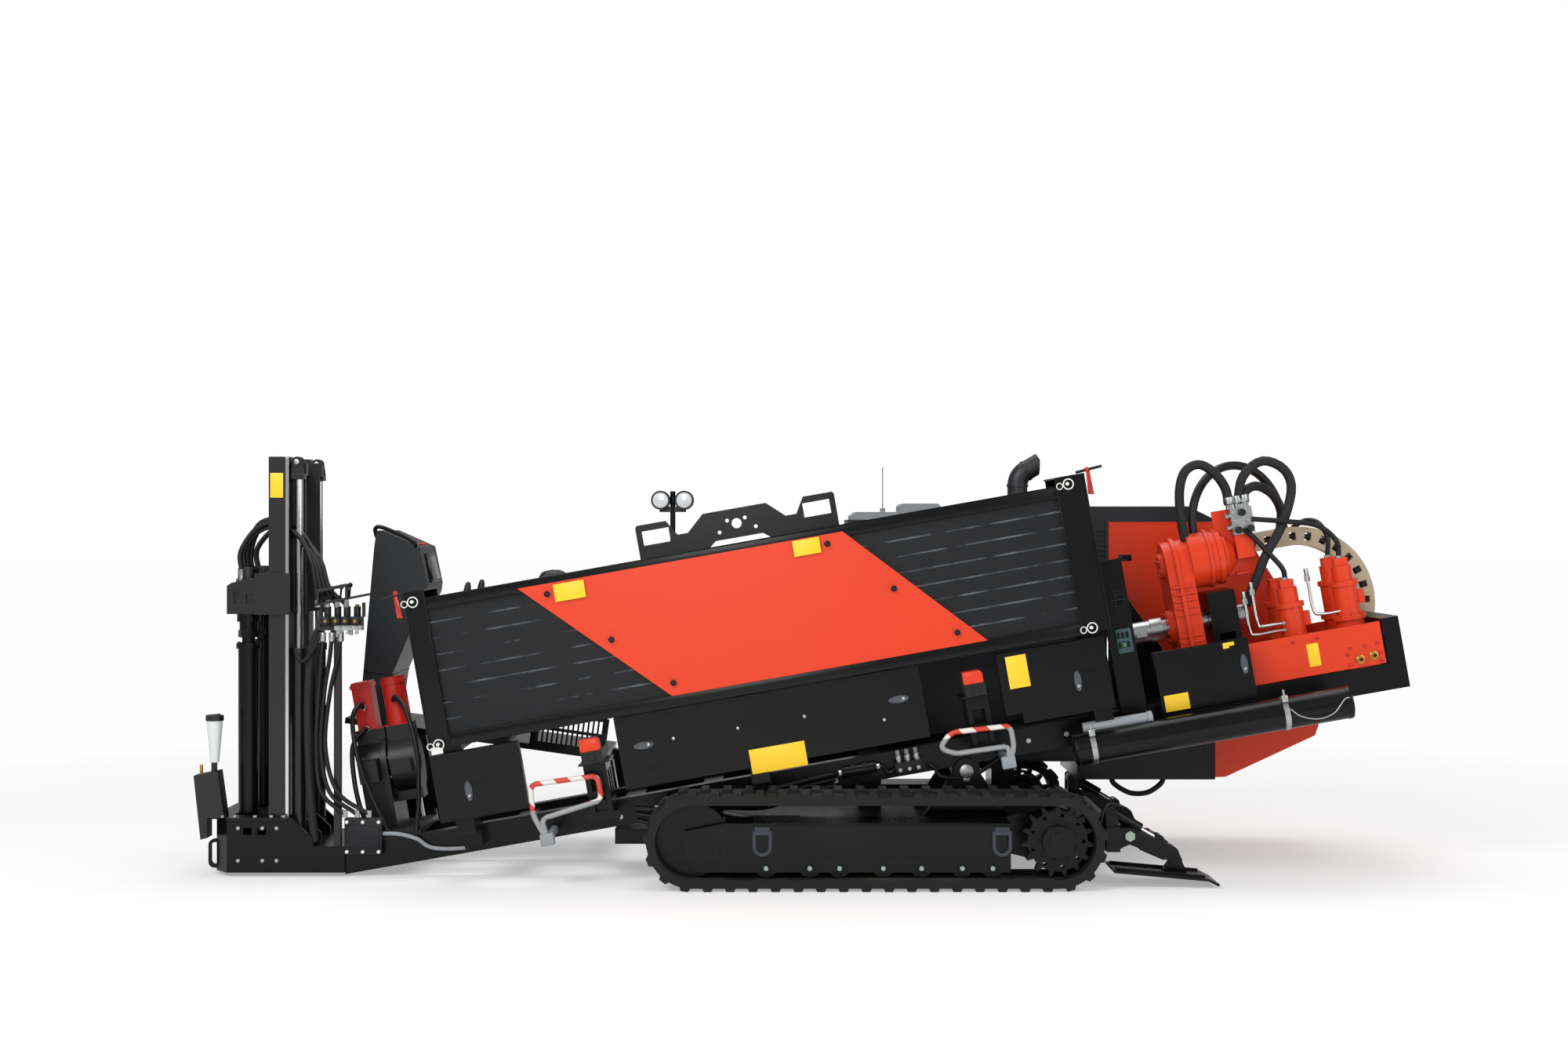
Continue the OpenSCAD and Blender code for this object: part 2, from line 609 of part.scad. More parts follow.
module masts() {
    color(BLACK) {
        for (s = [-1, 1]) {
            y = y_line + s * (anchor_gap / 2 + 75);
            difference() {
                block([mast_x - mast_s / 2, y - mast_s / 2, base_z1], [mast_back, y + mast_s / 2, base_z1 + mast_h]);
                block([mast_x - mast_s / 2 + 8, y - mast_s / 2 + 8, base_z1 + 10], [mast_back - 8, y + mast_s / 2 - 8, base_z1 + mast_h - 8]);
            }
            // Weld-on guide strip on the outer rear edge
            side_block(s, 279, 285, mast_back - 16, mast_back, base_z1, base_z1 + mast_h - 6);
            difference() {
                union() {
                    translate([rod_x, y, 150]) cylinder(r = 35, h = 974);
                    translate([rod_x, y, 1088]) cylinder(r = 41, h = 36);
                }
                translate([rod_x, y, base_z1 + 20]) cylinder(r = 20 + fit, h = 900);
            }
        }
        block([mast_x - 40, mast_y[0] + mast_s / 2 - 1, base_z1 + mast_h - 120], [mast_x + 35, mast_y[1] - mast_s / 2 + 1, base_z1 + mast_h - 40]);
        block([mast_x - 45, mast_y[0] + mast_s / 2 - 1, base_z1], [mast_x - 25, mast_y[1] - mast_s / 2 + 1, base_z1 + 200]);
    }
}
drive_z = 1290;
yoke_z = base_z1 + 1670;
module anchor_drive(s) {
    y = y_line + s * anchor_gap / 2;
    ym = y_line + s * (anchor_gap / 2 + 75);
    x0 = auger_x - 90;
    x1 = mast_x - mast_s / 2 - run;
    color(BLACK) {
        difference() {
            union() {
                for (d = [70, 218]) plate(y_line + s * (d + 6) - 6, y_line + s * (d + 6) + 6)
                    polygon([[x0, drive_z], [x0, drive_z + 140], [x0 + 24, drive_z + 156], [x1, drive_z + 192], [x1, drive_z]]);
                side_block(s, 80, 220, x0 + 14, x1, drive_z, drive_z + 142);
                side_block(s, 70, 298, x1 - 14, x1, drive_z, drive_z + 192);
            }
            translate([auger_x, y, drive_z - 1]) cylinder(r = 30.1, h = 40);
            side_block(s, 219, 232, x0 + 36, x0 + 60, drive_z + 50, drive_z + 112);
            side_block(s, 219, 232, x0 + 96, x0 + 132, drive_z + 50, drive_z + 100);
        }
        // Outer plate that wraps the mast
        side_block(s, 291, 303, x1 - 60, mast_back + 10, drive_z, drive_z + 204);
        side_block(s, 285.3, 292, mast_x - 38, mast_x + 24, drive_z + 20, drive_z + 60);
        side_block(s, 285.3, 292, mast_x - 38, mast_x + 24, drive_z + 140, drive_z + 180);
        side_block(s, 150, 174, x1 - 1, rod_x + 20, drive_z, drive_z + 200);
        side_block(s, 173, 179.7, mast_x - 40, mast_x + 30, drive_z + 10, drive_z + 50);
        side_block(s, 173, 179.7, mast_x - 40, mast_x + 30, drive_z + 150, drive_z + 190);
        side_block(s, 160, 174, mast_back - 4, rod_x + 20, drive_z + 199, yoke_z + 90);
        // Yoke that joins the rod to the slide bar
        side_block(s, 160, 200, mast_back + run, rod_x + 30, yoke_z + 20, yoke_z + 80);
        side_block(s, 199, 262, mast_back + run, rod_x + 30, yoke_z, yoke_z + 26);
        for (d = [200, 250]) plate(y_line + s * (d + 5) - 5, y_line + s * (d + 5) + 5)
            ear([rod_x - 4, yoke_z + 86], 26, mast_back + run, rod_x + 30, yoke_z + 25);
        translate([rod_x - 4, 0, yoke_z + 86]) across(10, min(y_line + s * 196, y_line + s * 264), max(y_line + s * 196, y_line + s * 264));
        // Motors
        translate([auger_x, y, drive_z + 141]) cylinder(r = 62, h = 24);
        translate([auger_x, y, drive_z + 164]) cylinder(r = 52, h = 62);
        translate([auger_x, y, drive_z + 225]) cylinder(r = 46, h = 8);
        translate([auger_x + 100, y, drive_z + 141]) cylinder(r = 26, h = 66);
    }
    color(STEEL) translate([rod_x, ym, 1025]) cylinder(r = 20, h = yoke_z - 1024);
}
// A block beside the drilling line, from distance a to distance b on side s
module side_block(s, a, b, x0, x1, z0, z1) {
    block([x0, y_line + (s > 0 ? a : -b), z0], [x1, y_line + (s > 0 ? b : -a), z1]);
}
module auger(s) {
    y = y_line + s * anchor_gap / 2;
    color(BLACK) translate([auger_x, y, 0]) {
        translate([0, 0, drive_z - 61]) cylinder(r = 30, h = 99);
        translate([0, 0, drive_z - 40]) cylinder(r = 56, h = 39);
        translate([0, 0, drive_z - 84]) cylinder(r = 44, h = 45);
        translate([0, 0, drive_z - 118]) cylinder(r = 52, h = 35, $fn = 6);
        translate([0, 0, 1140]) cylinder(r = 32, h = 40);
        translate([0, 0, 1116]) cylinder(r = 60, h = 25);
        for (i = [0 : 5]) rotate([0, 0, i * 60]) translate([48, 0, 1140]) cylinder(r = 8, h = 9, $fn = 6);
        translate([0, 0, 300]) cylinder(d = anchor_d, h = 817);
        translate([0, 0, 60]) cylinder(d = 44, h = 241);
        // One turn of flight, and the lead cutter
        translate([0, 0, 76]) linear_extrude(height = 150, twist = -360, slices = 30)
            translate([10, -16]) square([86, 32]);
        translate([0, 0, 30]) cylinder(r1 = 4, r2 = 22, h = 31);
    }
}

// Pipe box
box_u0 = -2522;
box_u1 = box_u0 + box_len;
box_w0 = 590;
box_w1 = box_w0 + box_h;
box_y0 = -830;
box_y1 = box_y0 + box_wide;
post_front = 96;
post_rear = 137;
post_h = box_w1 + 42;
module pipe_box() {
    color(BLACK) on_frame() {
        for (y = [box_y0, box_y1 - box_tube]) {
            block([box_u0 + 8, y, box_w0], [box_u1 - 8, y + box_tube, box_w0 + box_tube]);
            block([box_u0 + 8, y, box_w1 - box_tube], [box_u1 - 8, y + box_tube, box_w1]);
        }
        for (u = [box_u0, box_u1 - 8]) slab(u, u + 8) difference() {
            translate([box_y0, box_w0]) square([box_wide, post_h - box_w0]);
            for (w = [box_w0 + 90, box_w0 + 400]) translate([box_y0 + 90, w]) square([box_wide - 180, 220]);
        }
        for (y = [box_y0, box_y1 - 8]) {
            block([box_u0, y, box_w0], [box_u0 + post_front, y + 8, post_h]);
            block([box_u1 - post_rear, y, box_w0], [box_u1, y + 8, post_h]);
        }
        // Caps and the pull-out stops of the pipe rows
        block([box_u0 - 4, box_y0 - 4, post_h - 1], [box_u0 + post_front + 6, box_y1 + 4, post_h + 7]);
        block([box_u1 - post_rear - 6, box_y0 - 4, post_h - 1], [box_u1 + 4, box_y1 + 4, post_h + 7]);
        for (u = [box_u0 + post_front - 8, box_u1 - post_rear]) slab(u, u + 8)
            translate([box_y0 + 4, box_w0 + box_tube]) square([60, box_h - 2 * box_tube]);
        // Stiffeners behind the front sheet
        for (u = [-1700, -900, -100]) block([u, box_y0 + 26, box_w0 + box_tube - 1], [u + 30, box_y0 + 46, box_w1 - box_tube + 1]);
        for (u = [-1700, -900, -100]) block([u, box_y1 - 46, box_w0 + box_tube - 1], [u + 30, box_y1 - 26, box_w1 - box_tube + 1]);
    }
}
module pipe_box_panels() {
    color(BLACK) on_frame() for (y = [box_y0 + 20, box_y1 - 24])
        block([box_u0 + post_front + 1, y, box_w0 + box_tube], [box_u1 - post_rear - 1, y + 4, box_w1 - box_tube]);
}
module orange_panel() {
    color("#e8502f") on_frame() plate(box_y0 - 4.3, box_y0 - seat)
        polygon([[-1980, box_w1 - 26], [-404, box_w1 - 26], [190, box_w0 + 46], [-1341, box_w0 + 46]]);
}
module lift_bracket() {
    u0 = -1378;
    len = 966;
    color(BLACK) on_frame() translate([u0, 0, box_w1 + seat]) difference() {
        plate(box_y0 + 18, box_y0 + 30) difference() {
            polygon([[0, 0], [0, 158], [8, 170], [150, 170], [195, 95], [245, 95], [330, 172], [636, 172], [720, 95],
                [772, 95], [816, 170], [958, 170], [966, 158], [966, 0], [640, 0], [600, 32], [370, 32], [330, 0]]);
            translate([28, 70]) square([130, 68]);
            translate([808, 70]) square([130, 68]);
        }
        translate([len / 2, 0, 100]) across(24, box_y0, box_y0 + 60);
        for (x = [395, 440, 526, 571]) translate([x, 0, x < 430 || x > 540 ? 70 : 120]) across(9, box_y0, box_y0 + 60);
    }
}

// Covers below the pipe box
cover_y = -800;
cover_t = 59.7;
module cover(u0, u1, w0, w1, y) {
    difference() {
        block([u0, y, w0], [u1, y + cover_t, w1]);
        block([u0 + 4, y + 4, w0 + 4], [u1 - 4, y + cover_t + 1, w1 - 4]);
    }
}
// Recess and handle of a paddle latch
module latch(u, w, y) {
    block([u - 40, y - 3, w - 20], [u + 40, y + 5, w + 20]);
    block([u - 30, y - 6, w - 11], [u + 16, y - 2, w + 11]);
    translate([u + 26, 0, w]) across(7, y - 6, y);
}
module front_cover() {
    color(BLACK) on_frame() {
        cover(-2540, -2110, 225, 550, cover_y);
        block([-2480, cover_y - 3, 232], [-2180, cover_y + 1, 240]);
        latch(-2330, 400, cover_y);
    }
}
module long_cover() {
    color(BLACK) on_frame() {
        cover(-1640, -158, 228, 576, cover_y);
        latch(-1480, 330, cover_y);
        latch(-235, 500, cover_y);
        for (u = [-1600, -930, -230]) translate([0, cover_y, 576]) along(6, u, u + 60);
    }
}
module rear_cover() {
    color(BLACK) on_frame() {
        difference() {
            cover(216, 742, 212, 560, cover_y);
            block([200, cover_y - 20, 200], [300, cover_y + 90, 262]);
        }
        block([296, cover_y, 212], [300, cover_y + cover_t, 266]);
        block([216, cover_y, 262], [300, cover_y + cover_t, 266]);
        latch(650, 390, cover_y);
        for (u = [330, 620]) translate([0, cover_y, 560]) along(6, u, u + 60);
    }
}
module valve_door() {
    y = -556.3 - cover_t;
    color(BLACK) on_frame() {
        cover(987, 1455, 118, 417, y);
        latch(1400, 370, y);
        for (w = [140, 350]) translate([987, y, w]) cylinder(r = 6, h = 40);
    }
}

// Wrenches
module vise() {
    color(BLACK) on_frame() {
        block([-2990, rail_near, rail_w1 + seat], [-2700, rail_far, rail_w1 + 30]);
        difference() {
            union() {
                slab(-2980, -2860) jaw_outline(150);
                slab(-2861, -2835) jaw_outline(165);
                for (d = [-1, 1]) block([-2968, y_line + d * 190 - 50, line_w - 55], [-2872, y_line + d * 190 + 50, line_w + 55]);
            }
            translate([0, y_line, line_w]) along(48, -3000, -2800);
            translate([0, y_line, line_w]) along(110 + fit, -2859, -2800);
        }
        for (u = [-2990, -2712]) for (y = [rail_near + 6, rail_far - 30]) block([u, y, rail_w1 + 29], [u + 12, y + 24, rail_w1 + 60]);
    }
    color(RED) on_frame() {
        block([-2968, y_line - 62, line_w + 199], [-2872, y_line + 62, line_w + 440]);
        block([-2974, y_line - 68, line_w + 410], [-2866, y_line + 68, line_w + 430]);
        translate([-2920, y_line - 60, line_w + 300]) across(14, -20, 2);
    }
}
module jaw_outline(wide) {
    translate([y_line, line_w]) circle(r = wide);
    translate([y_line - wide, rail_w1 + 29]) square([2 * wide, line_w - rail_w1 - 29]);
    translate([y_line - 80, line_w]) square([160, 200]);
}
module wrench() {
    color(BLACK) on_frame() difference() {
        union() {
            slab(-2829, -2700) {
                translate([y_line, line_w]) circle(r = 148);
                translate([y_line - 78, line_w]) square([156, 200]);
                translate([y_line - 60, line_w - 185]) square([120, 80]);
            }
            for (d = [-1, 1]) block([-2815, y_line + d * 160 - 34, line_w - 34], [-2714, y_line + d * 160 + 34, line_w + 34]);
            translate([0, y_line, line_w]) along(110, -2858, -2820);
        }
        translate([0, y_line, line_w]) along(48, -2900, -2600);
    }
    color(RED) on_frame() translate([-2765, y_line, line_w + 199]) {
        cylinder(r = 60, h = 240);
        translate([0, 0, 205]) cylinder(r = 66, h = 18);
        translate([0, -60, 120]) across(13, -18, 4);
    }
}

// Operator's station, level when the frame stands at its steepest
station_x = -2300;
station_z = 705;
module on_station() {
    translate([station_x, 0, station_z]) rotate([0, 18 - frame_tilt, 0]) children();
}
module station_frame() {
    color(BLACK) {
        on_station() {
            difference() {
                block([-100, 230, -30], [1290, 900, 0]);
                block([-90, 240, -31], [1280, 890, -8]);
            }
            // Slotted step guard
            difference() {
                block([876, 230, -1], [1278, 240, 183]);
                for (x = [892 : 26 : 1240]) for (z = [20, 100]) block([x, 229, z], [x + 16, 241, z + 64]);
            }
            for (x = [890, 1250]) block([x, 238, -1], [x + 16, 270, 170]);
        }
        difference() {
            on_frame() for (u = [-2900, -1860]) for (y = [260, 780]) block([u, y, 80 + seat], [u + 80, y + 80, 1000]);
            on_station() block([-1000, 0, -29], [2500, 1000, 1500]);
        }
    }
}
module console() {
    color(DARK) on_station() plate(300, 820)
        polygon([[-40, seat], [100, seat], [100, 250], [219, 700], [219, 749], [150, 940], [-60, 1000], [-88, 995], [-88, 900]]);
}
module operator_seat() {
    color(DARK) on_station() {
        block([420, 400, seat], [760, 760, 331]);
        block([330, 340, 330], [820, 820, 430]);
        plate(340, 820) polygon([[700, 429], [830, 429], [910, 880], [890, 917], [820, 917], [790, 900]]);
    }
}
lamp_x = -677;
lamp_y = 250;
module lamp_post() {
    color(BLACK) translate([lamp_x, lamp_y, cross_z1 - 20 + seat]) cylinder(r = 14, h = 1655);
    color(BLACK) for (d = [-62, 62]) translate([lamp_x + d, 0, 1862]) {
        across(50, lamp_y - 60, lamp_y - 20);
        across(38, lamp_y - 20, lamp_y + 20);
        for (y = [-16, -4, 8]) across(50, lamp_y + y, lamp_y + y + 5);
    }
    color(BLACK) block([lamp_x - 70, lamp_y - 12, 1800], [lamp_x + 70, lamp_y + 12, 1830]);
}
module tool_tube() {
    color(BLACK) on_frame() translate([0, -740, 35]) along(77, 520, 1860);
}
module front_valves() {
    color(BLACK) {
        block([-2310, -496, 150 + seat], [-2276, -462, 1216]);
        plate(-540, -462) polygon([[-2397, 1334], [-2138, 1385], [-2138, 1397], [-2397, 1346]]);
        for (x = [-2380, -2170]) block([x, -500, 1280], [x + 12, -470, 1350]);
        translate([0, -560, 0]) plate(-8, 8) link([-2374, 1410], 8, [-2235, 1438], 8);
        for (q = [[-2374, 1340], [-2235, 1366]]) block([q[0] - 6, -566, q[1]], [q[0] + 6, -530, q[1] + 72]);
        for (x = [-2339, -2289, -2243, -2193]) translate([x, -500, 1280]) cylinder(r = 17, h = 52);
        block([-2310, -496, 1205], [-2276, -462, 1216]);
    }
    color(STEEL) {
        difference() {
            block([-2394, -530, 1215], [-2166, -470, 1281]);
            for (x = [-2360 : 46 : -2190]) translate([x, 0, 1240]) across(10, -531, -515);
        }
        for (x = [-2360 : 46 : -2190]) translate([x, -512, 1190]) cylinder(r = 9, h = 26);
    }
}
// Carriage
base_w = rail_w1 + run + 30;
module carriage_base() {
    color(RED) on_frame() {
        block([1120, rail_near, rail_w1 + run], [2138, rail_far, base_w]);
        for (u = [1140, 1960]) for (y = rail_y) block([u, y - 30, rail_w1 + seat], [u + 150, y + 30, rail_w1 + run + 1]);
        block([1476, rail_near, base_w - 1], [2138, rail_near + 12, 370]);
        block([1476, rail_far - 12, base_w - 1], [2138, rail_far, 370]);
    }
}
module gear_outline(grow) {
    offset(delta = grow) {
        translate([y_line, line_w]) circle(r = 140);
        translate([y_line, drum_w]) circle(r = 118);
        translate([y_line, 0]) polygon([[-134, base_w + seat], [134, base_w + seat], [140, line_w], [118, drum_w],
            [-118, drum_w], [-140, line_w]]);
    }
}
drum_w = 807;
drum_r = 140;
module gearbox() {
    color(RED) on_frame() {
        difference() {
            union() {
                slab(1180, 1309) intersection() {
                    gear_outline(0);
                    translate([-1000, base_w + seat]) square([2000, 2000]);
                }
                slab(1226, 1246) intersection() {
                    gear_outline(16);
                    translate([-1000, base_w + seat]) square([2000, 2000]);
                }
                for (w = [410, 440, 550, 585, 620, 655, 690])
                    block([1190, y_line - 146, w], [1300, y_line + 146, w + 9]);
                translate([0, y_line, line_w]) along(86, 1150, 1181);
                translate([0, y_line, drum_w]) along(64, 1160, 1181);
                block([1160, y_line - 120, base_w + seat], [1330, y_line + 120, base_w + 24]);
            }
            translate([0, y_line, line_w]) along(45 + fit, 1149, 1310);
        }
        for (i = [0 : 7]) translate([1150, y_line, line_w]) rotate([i * 45 + 22, 0, 0]) translate([0, 0, 68]) along(9, -8, 1);
        for (i = [0 : 5]) translate([1160, y_line, drum_w]) rotate([i * 60, 0, 0]) translate([0, 0, 48]) along(8, -8, 1);
        // Rotation motor
        translate([0, y_line, drum_w]) {
            along(drum_r, 1309, 1400);
            along(drum_r + 8, 1400, 1416);
            along(drum_r - 8, 1416, 1450);
            along(drum_r, 1450, 1476);
            along(drum_r - 30, 1476, 1500);
        }
        translate([1500, y_line, drum_w]) rotate([0, 90, 0]) cylinder(r1 = drum_r - 30, r2 = 62, h = 44);
        block([1470, y_line - 6, 700], [1660, y_line + 6, 1035]);
        block([1554, y_line - 70, 780], [1643, y_line - 5, 900]);
        block([1540, y_line - 40, 700], [1640, y_line + 40, 712]);
    }
}
module carriage_valves() {
    color(STEEL) on_frame() {
        block([1550, y_line - 82, 901], [1660, y_line - 6 - seat, 1035]);
        for (w = [925, 968, 1010]) for (u = [1575, 1635]) translate([u, 0, w]) across(13, y_line - 92, y_line - 81);
        for (u = [1572, 1605, 1638]) translate([u, y_line - 44, 1034]) cylinder(r = 13, h = 26);
        translate([0, y_line - 44, 940]) along(15, 1528, 1551);
        translate([0, y_line - 44, 1000]) along(15, 1528, 1551);
    }
}
// Sheet guard round the turning spindle
module spindle_guard() {
    color(BLACK) on_frame() difference() {
        union() {
            block([1355, y_line - 120, base_w + seat], [1495, y_line + 120, 640]);
            block([1345, y_line - 128, base_w + seat], [1505, y_line + 128, base_w + 12]);
        }
        block([1361, y_line - 114, base_w - 1], [1489, y_line + 114, 634]);
        translate([0, y_line, line_w]) along(62, 1340, 1510);
        for (w = [300, 380]) block([1385, y_line - 121, w], [1465, y_line - 110, w + 50]);
    }
}
module thrust_drive(u, y, lift) {
    // [radius, bottom, top] of the brake, flange, motor, collar and port cap
    steps = [[70, base_w + seat, 330 + lift], [84, 330 + lift, 352 + lift], [62, 352 + lift, 500 + lift],
        [72, 500 + lift, 524 + lift], [50, 524 + lift, 600 + lift]];
    translate([u, y, 0]) {
        for (t = steps) translate([0, 0, t[1]]) cylinder(r = t[0], h = t[2] - t[1]);
        for (i = [0 : 5]) rotate([0, 0, i * 60 + 30]) translate([74, 0, 352 + lift]) cylinder(r = 7, h = 9, $fn = 6);
        block([-34, -30, 600 + lift], [34, 30, 640 + lift]);
        block([30, -24, 400 + lift], [88, 24, 470 + lift]);
    }
}
module thrust_drives() {
    color(RED) on_frame() for (y = [y_line - 120, y_line + 110]) {
        thrust_drive(1755, y, 0);
        thrust_drive(2040, y, 60);
    }
}
hose_run = [523, 300];
hose_span = norm(hose_run);
module carriage_hoses() {
    color(RUBBER) on_frame() translate([1365, y_line, drum_w + drum_r + seat])
        rotate([0, 0, atan2(hose_run[1], hose_run[0])]) {
            translate([hose_span / 2, 0, 0]) rotate([90, 0, 0])
                rotate_extrude(angle = 180) translate([hose_span / 2, 0]) circle(r = 22);
            translate([hose_span, 0, -drum_w - drum_r + 880]) cylinder(r = 22, h = drum_w + drum_r - 880);
        }
}
module hose_carrier() {
    y0 = rail_y[1] + rail_w / 2 + 10;
    color("#b7a888") on_frame() plate(y0, y0 + 100) difference() {
        union() {
            translate([1888, 485]) circle(r = 395);
            translate([1300, 90]) square([588, 95]);
            translate([1500, 785]) square([388, 95]);
        }
        translate([1888, 485]) circle(r = 300);
        translate([1200, 185]) square([688, 600]);
        // Window of each link, on the bend and on the two straight runs
        for (i = [0 : 13]) translate([1888, 485]) rotate(i * 13.2 - 86) translate([347, 0]) square([42, 34], center = true);
        for (i = [0 : 6]) translate([1340 + i * 80, 137]) square([34, 42], center = true);
        for (i = [0 : 3]) translate([1544 + i * 80, 832]) square([34, 42], center = true);
    }
    color(BLACK) on_frame() block([1600, rail_far + seat, 150], [1700, y0 + 1, base_w - 2]);
}
module spindle() {
    color(STEEL) on_frame() translate([0, y_line, line_w]) {
        along(45, 1121, 1500);
        along(54, 1500, 1560);
        difference() {
            union() {
                along(53, 960, 1060);
                along(60, 1060, 1121);
            }
            along(30, 959, 1040);
            for (d = [-1, 1]) block([985, d * 60 - 12, -40], [1040, d * 60 + 12, 40]);
        }
    }
}
module shuttle(u) {
    color(DARK) on_frame() {
        difference() {
            block([u + 5, -790, 380], [u + 105, -500, 440]);
            block([u + 25, -770, 420], [u + 85, -620, 441]);
            for (d = [-560, -660]) translate([u + 55, d, 379]) cylinder(r = 14, h = 62);
        }
        block([u + 5, -501, 400], [u + 105, -405, 440]);
        block([u + 5, -505, 438], [u + 105, -491, 486]);
        block([u + 40, -796, 395], [u + 70, -789, 425]);
    }
}

chassis();
track_frame(-1);  // track_frame_left
track_frame(1);  // track_frame_right
running_gear(-1);  // running_gear_left
running_gear(1);  // running_gear_right
track(-1);  // track_left
track(1);  // track_right
engine();
engine_base();
hood();
hood_roof();
roof_boxes();
hood_door();
front_cowl();
exhaust();
lamp_post();
stabilizer(-1);  // stabilizer_left
stabilizer(1);  // stabilizer_right
foot(-1);  // foot_left
foot(1);  // foot_right
foot_barrel(-1);  // foot_barrel_left
foot_barrel(1);  // foot_barrel_right
foot_rod(-1);  // foot_rod_left
foot_rod(1);  // foot_rod_right
tilt_barrel();
tilt_rod();
frame_rails();
outriggers();
anchor_base();
anchor_box();
masts();
pipe_box();
pipe_box_panels();
orange_panel();
lift_bracket();
front_cover();
long_cover();
rear_cover();
valve_door();
vise();
wrench();
station_frame();
console();
operator_seat();
tool_tube();
front_valves();
carriage_base();
gearbox();
carriage_valves();
spindle_guard();
thrust_drives();
carriage_hoses();
hose_carrier();
spindle();
shuttle(-1830);  // shuttle_front
shuttle(40);  // shuttle_rear
anchor_drive(-1);  // anchor_drive_left
anchor_drive(1);  // anchor_drive_right
auger(-1);  // auger_left
auger(1);  // auger_right
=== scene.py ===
import bpy, bmesh
from math import sin, cos, pi, radians
from mathutils import Matrix, Vector


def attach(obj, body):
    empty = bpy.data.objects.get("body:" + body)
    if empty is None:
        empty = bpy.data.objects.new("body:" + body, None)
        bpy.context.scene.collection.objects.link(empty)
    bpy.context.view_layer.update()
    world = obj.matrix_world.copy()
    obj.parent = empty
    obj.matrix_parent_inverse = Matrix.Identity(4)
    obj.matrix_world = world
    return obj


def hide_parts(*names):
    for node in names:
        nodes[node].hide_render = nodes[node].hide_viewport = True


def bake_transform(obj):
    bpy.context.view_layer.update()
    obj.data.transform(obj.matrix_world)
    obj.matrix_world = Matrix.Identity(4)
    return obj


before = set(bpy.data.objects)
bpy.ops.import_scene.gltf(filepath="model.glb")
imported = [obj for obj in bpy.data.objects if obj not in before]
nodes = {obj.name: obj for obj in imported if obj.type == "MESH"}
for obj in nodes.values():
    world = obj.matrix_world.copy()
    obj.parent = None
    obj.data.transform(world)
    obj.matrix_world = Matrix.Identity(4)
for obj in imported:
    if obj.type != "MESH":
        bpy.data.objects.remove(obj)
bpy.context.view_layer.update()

# Camera: level, square to the machine's side at head height, as the picture was taken with a
# 50 mm lens. The frame's shape is 2000 by 1335.
camera_data = bpy.data.cameras.new("camera")
camera_data.lens = 50
camera_data.sensor_width = 36
camera = bpy.data.objects.new("camera", camera_data)
camera.location = (-0.091, -11.23, 1.74)
camera.rotation_euler = (radians(90), 0, 0)
bpy.context.collection.objects.link(camera)
bpy.context.scene.camera = camera
bpy.context.scene.view_settings.view_transform = "Standard"


# Studio: a pale floor of painted board and a pale surround, lit by four large soft lamps.
# Camera and transmission rays see the surround as white, other rays see it dimmer, and the lamps do the
# lighting.
def new_material(name):
    material = bpy.data.materials.new(name)
    material.use_nodes = True
    tree = material.node_tree
    return material, tree, tree.nodes["Principled BSDF"]


def add_node(tree, kind, settings=None, **links):
    node = tree.nodes.new(kind)
    for key, value in (settings or {}).items():
        if key in node.inputs:
            node.inputs[key].default_value = value
        else:
            setattr(node, key, value)
    for key, value in links.items():
        if key.startswith("in") and key[2:].isdigit():
            socket = node.inputs[int(key[2:])]
        else:
            socket = node.inputs[key.replace("_", " ")]
        if isinstance(value, (int, float, tuple)):
            socket.default_value = value
        else:
            tree.links.new(value, socket)
    return node


def linear(hex_colour):
    parts = [int(hex_colour[i:i + 2], 16) / 255 for i in (1, 3, 5)]
    return tuple(p / 12.92 if p <= 0.04045 else ((p + 0.055) / 1.055) ** 2.4 for p in parts) + (1.0,)


def maths(tree, operation, *values):
    inputs = {"in%d" % n: value for n, value in enumerate(values)}
    return add_node(tree, "ShaderNodeMath", {"operation": operation}, **inputs).outputs[0]


def ramp(tree, value, low, high, start=0.0, end=1.0):
    ends = {"From Min": low, "From Max": high, "To Min": start, "To Max": end}
    return add_node(tree, "ShaderNodeMapRange", ends, Value=value).outputs[0]


floor_mesh = bmesh.new()
bmesh.ops.create_grid(floor_mesh, x_segments=1, y_segments=1, size=90)
floor_data = bpy.data.meshes.new("floor")
floor_mesh.to_mesh(floor_data)
floor_mesh.free()
floor = bpy.data.objects.new("floor", floor_data)
bpy.context.collection.objects.link(floor)
floor_material, tree, shader = new_material("matt white studio floor")
shader.inputs["Base Color"].default_value = linear("#fafafa")
shader.inputs["Roughness"].default_value = 0.95
shader.inputs["Specular IOR Level"].default_value = 0.1
# Far from the machine the board is seen as plain white, so that it has no horizon
place = add_node(tree, "ShaderNodeTexCoord").outputs["Object"]
reach = add_node(tree, "ShaderNodeVectorMath", {"operation": "LENGTH"}, in0=place).outputs["Value"]
eye = add_node(tree, "ShaderNodeLightPath").outputs["Is Camera Ray"]
far = maths(tree, "MULTIPLY", ramp(tree, reach, 3.2, 7.5, 0.35), eye)
glow = add_node(tree, "ShaderNodeEmission", {"Strength": 1.02, "Color": linear("#fcfcfc")})
blend = add_node(tree, "ShaderNodeMixShader", None, in0=far, in1=shader.outputs[0], in2=glow.outputs[0])
tree.links.new(blend.outputs[0], tree.nodes["Material Output"].inputs["Surface"])
floor_data.materials.append(floor_material)
world = bpy.data.worlds.new("pale surround")
bpy.context.scene.world = world
world.use_nodes = True
tree = world.node_tree
path = add_node(tree, "ShaderNodeLightPath")
seen = maths(tree, "MAXIMUM", path.outputs["Is Camera Ray"], path.outputs["Is Transmission Ray"])
tree.nodes["Background"].inputs["Color"].default_value = linear("#fcfcfc")
tree.links.new(ramp(tree, seen, 0.0, 1.0, 0.4, 1.05), tree.nodes["Background"].inputs["Strength"])
